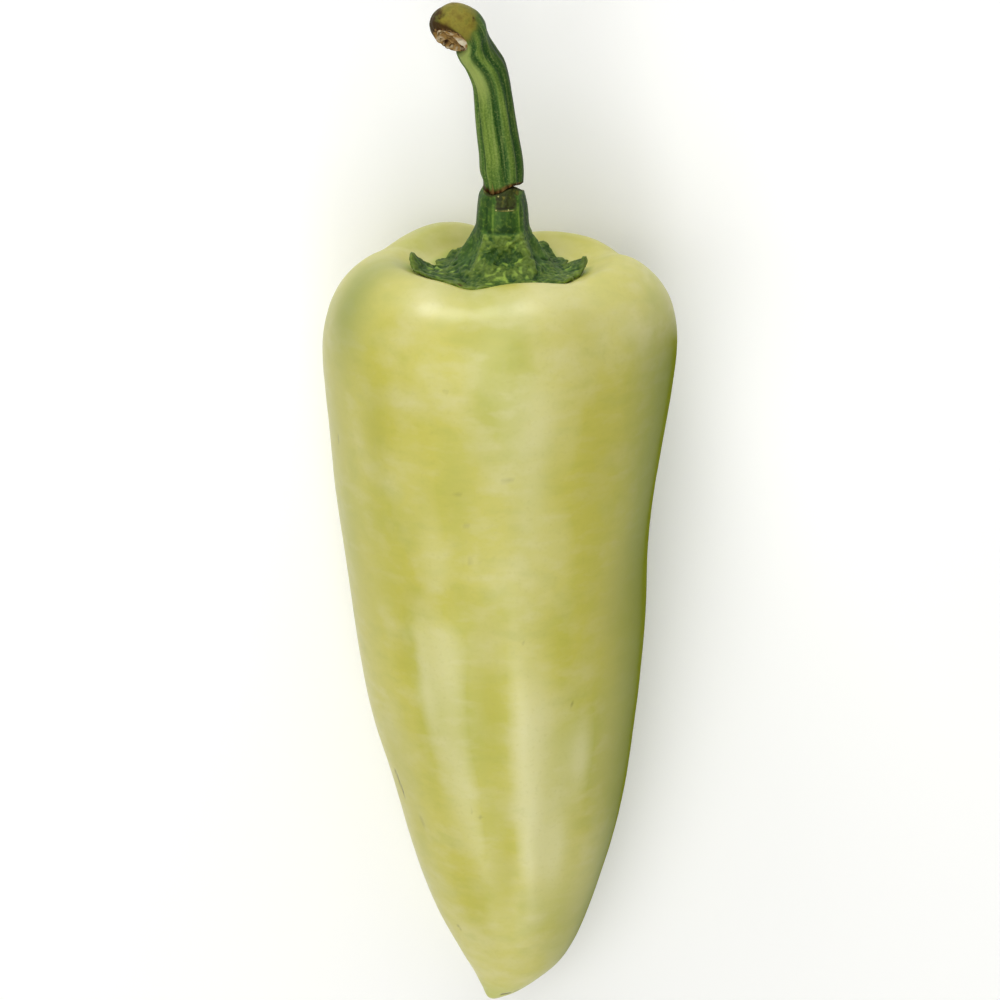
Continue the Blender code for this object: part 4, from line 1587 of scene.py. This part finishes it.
        # The relief mark paints highlight on folds, crests, lines, lumps, flutes and the leaf's front, and
        # shade in creases, hollows, the flare's smooth sides and the neck
        marks = {
            "relief": 0.5 + self.fold_tone * shades + rough * texture + on_top * forms
            + on_leaf * front_tone * plateau(angle, front, front_width) + on_neck * neck,
            "edge": ease(0.93, 1.0, radius / edge) * on_leaf,
            "rough": 0.15 + 0.85 * np.clip(rough, 0.0, 1.0),
            "scar": spots(self.flecks, angle, radius) * on_leaf,
            "wood": np.clip(torn + on_top * (bare + wood), 0.0, 1.0),
            "tone": np.clip(tone, 0.0, 1.0),
        }
        piece = make_shell("calyx_leaf", points, CrumpledLeaf(), marks)
        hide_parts("calyx")
        return piece


@dataclass(frozen=True)
class Stalk:
    """The stalk above the crack: ribbed, bent over to the left, with a knob and a torn end."""

    segments: int = 250
    crack_rings: int = 12
    side_rings: int = 310
    torn_rings: int = 44
    # Left edge and its height, right edge and its height, half depth, lean, how far forward it stands
    rings: Rows = (
        (-1.95, 103.9, 2.75, 103.9, 2.35, 0.0, 0.0),
        (-2.35, 105.2, 2.8, 105.2, 2.5, 0.0, 0.0),
        (-2.45, 107.0, 2.65, 107.0, 2.55, 0.0, 0.0),
        (-2.7, 109.4, 2.25, 109.4, 2.5, 0.0, 0.0),
        (-2.9, 111.7, 1.85, 111.9, 2.4, 1.0, 0.0),
        (-3.0, 113.4, 1.55, 114.0, 2.3, 4.0, 0.0),
        (-3.2, 115.2, 1.2, 116.0, 2.25, 8.0, 0.0),
        (-3.9, 117.0, 0.65, 117.9, 2.35, 12.0, 0.0),
        (-4.6, 118.1, -0.25, 119.3, 2.45, 15.0, 0.0),
        (-4.85, 118.6, -1.0, 120.5, 2.6, 17.0, 0.05),
        (-4.95, 118.95, -1.45, 121.6, 2.7, 19.0, 0.1),
        (-4.8, 119.15, -1.8, 122.8, 2.8, 20.5, 0.2),
        (-4.6, 119.25, -2.85, 124.1, 2.85, 22.0, 0.4),
        (-4.35, 119.35, -5.0, 124.95, 2.85, 26.0, 0.7),
        (-4.1, 119.4, -7.1, 124.15, 2.75, 30.0, 1.0),
        (-3.75, 119.5, -7.85, 122.85, 2.4, 36.0, 1.4),
        (-3.26, 119.7, -7.5, 121.75, 1.9, 41.0, 1.7),
    )
    # Furrows between the ribs: angle, half width, depth
    furrows: Rows = (
        (-8.0, 12.0, 0.1), (38.0, 11.0, 0.12), (82.0, 10.0, 0.13), (141.0, 5.0, 0.1),
        (195.0, 12.0, 0.11), (250.0, 13.0, 0.12), (300.0, 12.0, 0.1),
    )
    # Place along the rings, and how far the ribs have turned there
    twist: Rows = ((0.0, 0.0), (2.4, 0.0), (4.6, 4.0), (6.8, 9.0), (8.0, 13.0), (9.5, 20.0), (11.0, 26.0),
                   (16.0, 30.0))
    rib_stretch: Stretch = ((103.0, 104.5), (122.0, 118.0))
    # How pale the ribs are, how much a furrow darkens them, and the share of that at the foot
    rib_tone: float = 0.62
    furrow_tone: float = 7.0
    foot_share: float = 0.55
    # The ribs that catch the light, painted with a highlight, by angle and half width: a narrow one and a
    # broad one
    narrow_rib: Span = (61.0, 9.0)
    broad_rib: Span = (114.0, 21.0)
    rib_highlight_tone: float = 0.38
    # The painted highlight on the top of the broad rib, and the painted shade on the right side: angle, half
    # width
    pale_top: Span = (118.0, 26.0)
    pale_stretch: Stretch = ((112.5, 116.5), (121.0, 119.3))
    shaded_side: Span = (-4.0, 34.0)
    shaded_side_top: Span = (123.0, 119.0)
    # The fibres run round and along the bark: how far round, how far along a ring of the table
    grain_radius: float = 2.5
    grain_step: float = 1.3
    fibre: float = 0.035
    knob_lump: float = 0.05
    # Torn fibres above the calyx's bare patch: angle, half width, heights where they end and are full
    torn_fibres: tuple[float, float, float, float] = (119.0, 15.0, 1.9, 0.2)
    # The scorched rim of the torn face, in rings of the table from the end: first, full
    scorched_rim: Span = (1.1, 0.35)
    # Marks on the knob, by place across and height: middle, full and last distance from it
    olive: tuple[float, float, float, float] = (-5.05, 123.2, 1.5, 3.5)
    scorches: Rows = ((-7.75, 123.1, 0.1, 1.5), (-7.1, 124.2, 0.0, 1.0), (-2.83, 123.5, -0.25, 0.28))
    torn_hollow: float = 0.4
    torn_strand: float = 0.26
    torn_rim: float = 0.2
    # Flakes on the torn face: place along it, across it, half lengths, rise and tone
    flakes: Rows = (
        (-0.46, 0.18, 0.42, 0.42, 0.42, 1.0),
        (0.74, 0.42, 0.20, 0.22, 0.12, 0.72),
        (0.27, 0.47, 0.20, 0.16, 0.10, 0.75),
        (0.15, 0.78, 0.75, 0.15, 0.05, 0.0),
        (0.55, -0.50, 0.26, 0.34, 0.30, 0.78),
        (-0.34, -0.30, 0.38, 0.24, -0.05, 0.28),
        (-0.80, 0.15, 0.16, 0.30, 0.05, 0.42),
        (-0.82, -0.28, 0.20, 0.16, 0.25, 0.92),
        (0.20, -0.72, 0.14, 0.24, -0.25, 0.0),
        (0.10, 0.05, 0.30, 0.18, -0.15, 0.2),
    )

    def untwist(self, angle: np.ndarray, place: np.ndarray) -> np.ndarray:
        """Angles among the ribs, as they are at the foot, of angles at places along the rings."""
        places, turns = zip(*self.twist)
        return angle - np.interp(place, places, turns)

    def furrow_share(self, angle: np.ndarray, place: np.ndarray) -> np.ndarray:
        """How deep in a furrow places on the stalk are, as a share of the stalk's thickness."""
        twisted = self.untwist(angle, place)
        return sum(depth * swell(twisted, at, width) for at, width, depth in self.furrows)

    def ring_points(self, place: np.ndarray, angle: np.ndarray,
                    size: np.ndarray | float) -> np.ndarray:
        """Points on the stalk's rings.

        Args:
            place: Places along the table of rings.
            angle: Angles round each ring.
            size: Share of the ring's full size.

        Returns:
            Points with the axes last.
        """
        table = curve(numbered(self.rings), place)
        left, left_height, right, right_height, depth, lean, forward = np.moveaxis(table, -1, 0)
        middle = (left_height + right_height) / 2.0
        ribs = within(self.rib_stretch, middle)
        size = size * (1.0 - ribs * self.furrow_share(angle, place))
        half_across = (right - left) / 2.0
        half_rise = (right_height - left_height) / 2.0
        lean = np.radians(lean)
        aside = size * np.cos(np.radians(angle))
        front = size * depth * np.sin(np.radians(angle))
        nod = front * np.sin(lean) / np.hypot(half_across, half_rise)
        return np.stack((
            (left + right) / 2.0 + aside * half_across + nod * half_rise,
            middle + aside * half_rise - nod * half_across,
            front * np.cos(lean) + forward,
        ), axis=-1)

    def show_ribs(self, angle: np.ndarray, place: np.ndarray, height: np.ndarray) -> np.ndarray:
        """Where the bark pales on its ribs and deepens in its furrows, less so at the foot, with a painted
        highlight on the ribs that catch the light.

        Args:
            angle: Angles round each ring.
            place: Places along the table of rings.
            height: Heights.

        Returns:
            About 0 in a furrow to 1 on a bright rib.
        """
        past_foot = ease(103.2, 108.0, height)
        contrast = self.foot_share + (1.0 - self.foot_share) * past_foot
        twisted = self.untwist(angle, place)
        # Painted highlight on the ribs that catch the light
        bright = swell(twisted, *self.narrow_rib) + plateau(twisted, *self.broad_rib)
        level = self.rib_tone - self.furrow_tone * self.furrow_share(angle, place) * contrast
        return level + self.rib_highlight_tone * bright * past_foot

    def near(self, mark: Sequence[float], across: np.ndarray, height: np.ndarray,
             ragged: np.ndarray) -> np.ndarray:
        """How much of a round mark on the knob is at places.

        Args:
            mark: Its middle across and in height, and its full and last distances.
            across: Places across.
            height: Heights.
            ragged: What makes its edge uneven.

        Returns:
            0 to 1.
        """
        middle_across, middle_height, full, last = mark
        away = np.hypot(across - middle_across, height - middle_height) + ragged
        return ease(last, full, away)

    def torn_face(self, depth: np.ndarray, angle: np.ndarray) -> tuple[np.ndarray, np.ndarray]:
        """The ragged face where the stalk broke off the plant.

        Args:
            depth: Share of the way from the face's rim to its middle.
            angle: Angles round it.

        Returns:
            How far it stands out, and how pale its wood is: 0 scorched, 1 white pith.
        """
        along = (1.0 - depth) * np.cos(np.radians(angle))
        across = (1.0 - depth) * np.sin(np.radians(angle))
        # The wood split along the face, so its strands are drawn out that way
        places = np.stack((0.9 * along, 2.6 * across, 0.0 * along), axis=-1)
        strands = noise_at(places, 0.5, 3)
        crumbs = noise_at(places * (2.4, 1.0, 1.0) + 7.0, 0.45, 3)
        rise = self.torn_strand * (strands + 0.6 * crumbs) * ease(0.0, 0.1, depth)
        rise = rise - self.torn_hollow * ease(0.0, 0.3, depth)
        tone = 0.42 + 0.45 * strands + 0.3 * crumbs
        for place, aside, half_length, half_width, lift, pale in self.flakes:
            away = ((along - place) / half_length) ** 2 + ((across - aside) / half_width) ** 2
            mask = np.exp(-((away + 0.5 * crumbs) ** 2))
            rise = rise + lift * mask * ease(0.0, 0.12, depth)
            tone = tone * (1.0 - mask) + (pale + 0.12 * crumbs) * mask
        return rise, tone

    def build(self) -> bpy.types.Object:
        """Makes the stalk.

        Returns:
            The stalk's object.
        """
        angle = np.linspace(0.0, 360.0, self.segments, endpoint=False)[None, :]
        last = len(self.rings) - 1
        reach = np.linspace(0.0, 1.0, self.crack_rings + 1)[:, None]
        tear = CRACK.level(angle, 1.0)
        foot = self.ring_points(0.0 * reach, angle, reach)
        foot[..., 1] = CRACK.level(angle, reach) + CRACK.gape(angle, reach)
        place = np.linspace(0.0, last, self.side_rings + 1)[1:, None]
        side = self.ring_points(place, angle, 1.0)
        side[..., 1] += (tear - CRACK.height) * ease(105.5, 103.5, side[..., 1])
        inward = np.linspace(0.0, 1.0, self.torn_rings + 1)[1:, None]
        torn = self.ring_points(last + 0.0 * inward, angle, 1.0 - inward)
        zones = (foot, side, torn)
        points = np.concatenate(zones)
        depth = by_zone(zones, (0.0, 0.0, inward))
        on_foot = by_zone(zones, (1.0, 0.0, 0.0))
        on_side = by_zone(zones, (0.0, 1.0, 0.0))
        along = by_zone(zones, (0.0, place, last))
        round_bark = self.grain_radius * np.stack((np.cos(np.radians(angle)), np.sin(np.radians(angle))))
        grain = np.stack(np.broadcast_arrays(*round_bark, self.grain_step * along), axis=-1)
        strands = noise_at(grain * (1.0, 1.0, 0.1), 0.45, 2)
        lumps = noise_at(points, 1.3, 3)
        across, height, _ = np.moveaxis(points, -1, 0)
        on_knob = on_side * self.near(self.olive, across, height, 0.5 * lumps) * ease(9.0, 11.0, along)
        end_rise, tone = self.torn_face(depth, angle)
        rise = on_side * (self.fibre * (1.0 - on_knob) * strands + self.knob_lump * on_knob * lumps)
        on_rim = bell(along, last, 0.3) * bell(depth, 0.0, 0.1)
        ragged = self.torn_rim * noise_at(grain * (1.0, 1.0, 0.0), 0.55, 3)
        rise = rise + (depth > 0.0) * end_rise + ragged * on_rim
        points = points + rise[..., None] * outward(points)
        above_tear = height - tear
        front_lip = plateau(angle, *CRACK.front_lip) * ease(0.14, 0.0, above_tear - CRACK.closed_gap)
        middle, half_width, end, full = self.torn_fibres
        fibres = swell(angle, middle, half_width) * ease(end, full, above_tear)
        fibres = fibres * ease(0.1, 0.45, strands)
        first, full = self.scorched_rim
        rim = ease(last - first, last - full, along + 0.35 * lumps)
        mottled = 0.45 * lumps + 0.3 * noise_at(points + 9.0, 0.4, 2)
        scorch = sum(self.near(mark, across, height, mottled) for mark in self.scorches)
        torn_edge = ease(last - 0.3, last, along)
        twisted = self.untwist(angle, along)
        # Painted highlight on the top of the broad rib, and painted shade on the stalk's right side
        pale = plateau(twisted, *self.pale_top) * within(self.pale_stretch, height)
        shade = swell(twisted, *self.shaded_side) * ease(*self.shaded_side_top, height)
        marks = {
            "grain": grain,
            "rib": np.clip(self.show_ribs(angle, along, height) + 0.15 * strands, 0.0, 1.0),
            "knob": np.clip(on_knob, 0.0, 1.0),
            "wood": np.clip(on_foot + (depth > 0.0) + on_side * (0.8 * fibres + torn_edge), 0.0, 1.0),
            "tone": np.clip(np.where(depth > 0.0, tone, 0.12 + 0.4 * strands), 0.0, 1.0),
            "pale": on_side * pale,
            "shade": on_side * shade,
            "scorch": np.clip(on_side * (scorch + rim + 0.7 * front_lip), 0.0, 1.0),
        }
        piece = make_shell("stalk_bark", points, RibbedBark(), marks)
        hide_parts("stem")
        return piece


@dataclass(frozen=True)
class TornEnd:
    """The shreds of fibre that stand out of the stalk's torn end."""

    stalk: Stalk = Stalk()
    shreds: int = 30
    seed: int = 11
    length: Span = (0.05, 0.32)
    half_width: Span = (0.1, 0.24)
    half_thickness: float = 0.06
    # Where they stand on the torn face, how far they lean and bend, and how deep they are rooted
    angles: Span = (180.0, 380.0)
    reach: Span = (0.7, 0.97)
    lean: float = 0.35
    bend: float = 0.2
    root_depth: float = 0.35
    # A root's length besides the shred's own
    root_length: float = 0.3
    tones: tuple[float, ...] = (0.1, 0.3, 0.45, 0.6)
    steps: int = 7
    sides: int = 8

    def blade(self, root: Vector, out: Vector, wide: Vector, length: float, half_width: float,
              bend: float) -> np.ndarray:
        """One tapered shred as rings of points.

        Args:
            root: Its middle at the foot.
            out: Unit direction in which it grows.
            wide: Unit direction across it.
            length: Its length.
            half_width: Half its width at the foot.
            bend: How far its tip bends aside.

        Returns:
            Rings of points, the first and last of which are poles.
        """
        flat = out.cross(wide).normalized()
        rings = []
        for step in range(self.steps + 1):
            share = step / self.steps
            taper = (1.0 - share ** 2.2) * min(1.0, 4.0 * share) if 0 < step < self.steps else 0.0
            middle = root + out * (length * share) + flat * (bend * share * share)
            ring = []
            for side in range(self.sides):
                turn = 2.0 * math.pi * side / self.sides
                aside = wide * (half_width * taper * math.cos(turn))
                ring.append(middle + aside + flat * (self.half_thickness * taper * math.sin(turn)))
            rings.append([tuple(point) for point in ring])
        return np.array(rings)

    def build(self) -> bpy.types.Object:
        """Makes the shreds.

        Returns:
            One object with every shred in it.
        """
        draw = random.Random(self.seed)
        last = float(len(self.stalk.rings) - 1)
        face = [Vector(self.stalk.ring_points(np.array(last), np.array(angle), 1.0))
                for angle in (0.0, 90.0, 180.0, 270.0)]
        out = (face[2] - face[0]).cross(face[1] - face[3]).normalized()
        if out.x > 0.0:
            out = -out
        vertices: list[np.ndarray] = []
        tones: list[float] = []
        faces: list[list[int]] = []
        for _ in range(self.shreds):
            angle = draw.uniform(*self.angles)
            reach = draw.uniform(*self.reach)
            root = Vector(self.stalk.ring_points(np.array(last), np.array(angle), reach))
            tilt = Vector([draw.uniform(-self.lean, self.lean) for _ in range(3)])
            grow = (out + tilt).normalized()
            wide = grow.cross(Vector([draw.uniform(-1.0, 1.0) for _ in range(3)])).normalized()
            length = draw.uniform(*self.length) + self.root_length
            half_width = draw.uniform(*self.half_width)
            bend = draw.uniform(-self.bend, self.bend)
            blade = self.blade(root - out * self.root_depth, grow, wide, length, half_width, bend)
            tone = draw.choice(self.tones)
            start = sum(len(part) for part in vertices)
            faces += self.blade_faces(start)
            vertices.append(blade.reshape(-1, 3))
            tones += [tone] * blade.shape[0] * blade.shape[1]
        piece = make_piece("torn_shreds", np.concatenate(vertices), faces, TornFibre(),
                           {"tone": np.array(tones)})
        return piece

    def blade_faces(self, start: int) -> list[list[int]]:
        """The faces of one shred.

        Args:
            start: The number of its first point.

        Returns:
            The numbers of each face's points.
        """
        faces = []
        for step in range(self.steps):
            for side in range(self.sides):
                here = start + step * self.sides + side
                after = start + step * self.sides + (side + 1) % self.sides
                faces.append([here, after, after + self.sides, here + self.sides])
        return faces


@dataclass(frozen=True)
class SoftBox:
    """A soft studio light that looks at the pepper."""

    name: str
    place: tuple[float, float, float]
    width: float
    height: float
    power: float
    tint: str = "#ffffff"

    def build(self) -> bpy.types.Object:
        """Makes the light.

        Returns:
            The light's object.
        """
        light = bpy.data.lights.new(self.name, "AREA")
        light.shape = "RECTANGLE"
        light.size = self.width
        light.size_y = self.height
        light.energy = self.power
        light.color = to_linear(self.tint)[:3]
        lamp = bpy.data.objects.new(self.name, light)
        lamp.location = self.place
        lamp.rotation_euler = (-Vector(self.place)).to_track_quat("-Z", "Y").to_euler()
        lamp.visible_camera = False
        bpy.context.scene.collection.objects.link(lamp)
        return lamp


@dataclass(frozen=True)
class Studio:
    """The pale board, the soft lights and the camera."""

    board_half_width: float = 1.5
    board_drop: float = 0.0001
    lights: tuple[SoftBox, ...] = (
        SoftBox("key_box", (-0.20, -0.10, 0.87), 0.8, 0.8, 5.3),
        SoftBox("ridge_box", (0.06, -0.50, 0.80), 0.25, 0.35, 1.0),
        SoftBox("stalk_box", (0.0, 0.65, 0.70), 1.0, 0.7, 2.9),
        SoftBox("shoulder_box", (0.12, 0.92, 0.32), 0.35, 0.4, 1.8),
        SoftBox("shoulder_box_left", (-0.35, 0.86, 0.32), 0.35, 0.4, 2.2),
        SoftBox("tip_box", (0.0, -0.85, 0.35), 0.6, 0.4, 2.1),
    )
    surround: str = "#eef0f2"
    surround_strength: float = 0.01
    lens: float = 150.0
    tilt: float = 19.0
    aim_height: float = 65.0
    camera_distance: float = 493.0

    def build_board(self) -> bpy.types.Object:
        """Makes the board that the pepper lies on.

        Returns:
            The board's object.
        """
        shape = bmesh.new()
        bmesh.ops.create_grid(shape, x_segments=8, y_segments=8, size=self.board_half_width)
        mesh = bpy.data.meshes.new("board")
        shape.to_mesh(mesh)
        shape.free()
        mesh.materials.append(PaintedBoard().make())
        board = bpy.data.objects.new("board", mesh)
        board.location.z = -self.board_drop
        bpy.context.scene.collection.objects.link(board)
        return board

    def build_surround(self) -> bpy.types.World:
        """Makes the pale light that comes from all round.

        Returns:
            The world.
        """
        world = bpy.data.worlds.new("pale_surround")
        world.use_nodes = True
        background = world.node_tree.nodes["Background"]
        background.inputs["Color"].default_value = to_linear(self.surround)
        background.inputs["Strength"].default_value = self.surround_strength
        bpy.context.scene.world = world
        return world

    def build_camera(self) -> bpy.types.Object:
        """Makes the camera, which looks down on the pepper from the stalk's side.

        Returns:
            The camera's object.
        """
        tilt = math.radians(self.tilt)
        above = (0.0, self.aim_height + self.camera_distance * math.sin(tilt),
                 self.camera_distance * math.cos(tilt))
        aim = Vector(POSE.place(np.array((0.0, self.aim_height, 0.0))))
        place = Vector(POSE.place(np.array(above)))
        back = (place - aim).normalized()
        right = Vector((1.0, 0.0, 0.0))
        up = back.cross(right).normalized()
        data = bpy.data.cameras.new("camera")
        data.lens = self.lens
        camera = bpy.data.objects.new("camera", data)
        camera.location = place
        camera.rotation_euler = Matrix((right, up, back)).transposed().to_euler()
        bpy.context.scene.collection.objects.link(camera)
        bpy.context.scene.camera = camera
        return camera


def main() -> None:
    """Builds the pepper and its studio in order, and logs how many faces each piece has."""
    logging.basicConfig(level=logging.INFO, format="%(name)s: %(message)s")
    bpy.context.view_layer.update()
    studio = Studio()
    studio.build_board()
    studio.build_surround()
    for light in studio.lights:
        light.build()
    studio.build_camera()
    bpy.context.scene.view_settings.view_transform = "Standard"
    for part in (Fruit(), Calyx(), Stalk(), TornEnd()):
        piece = part.build()
        LOG.info("%s: %d faces", piece.name, len(piece.data.polygons))


if __name__ == "__main__":
    main()
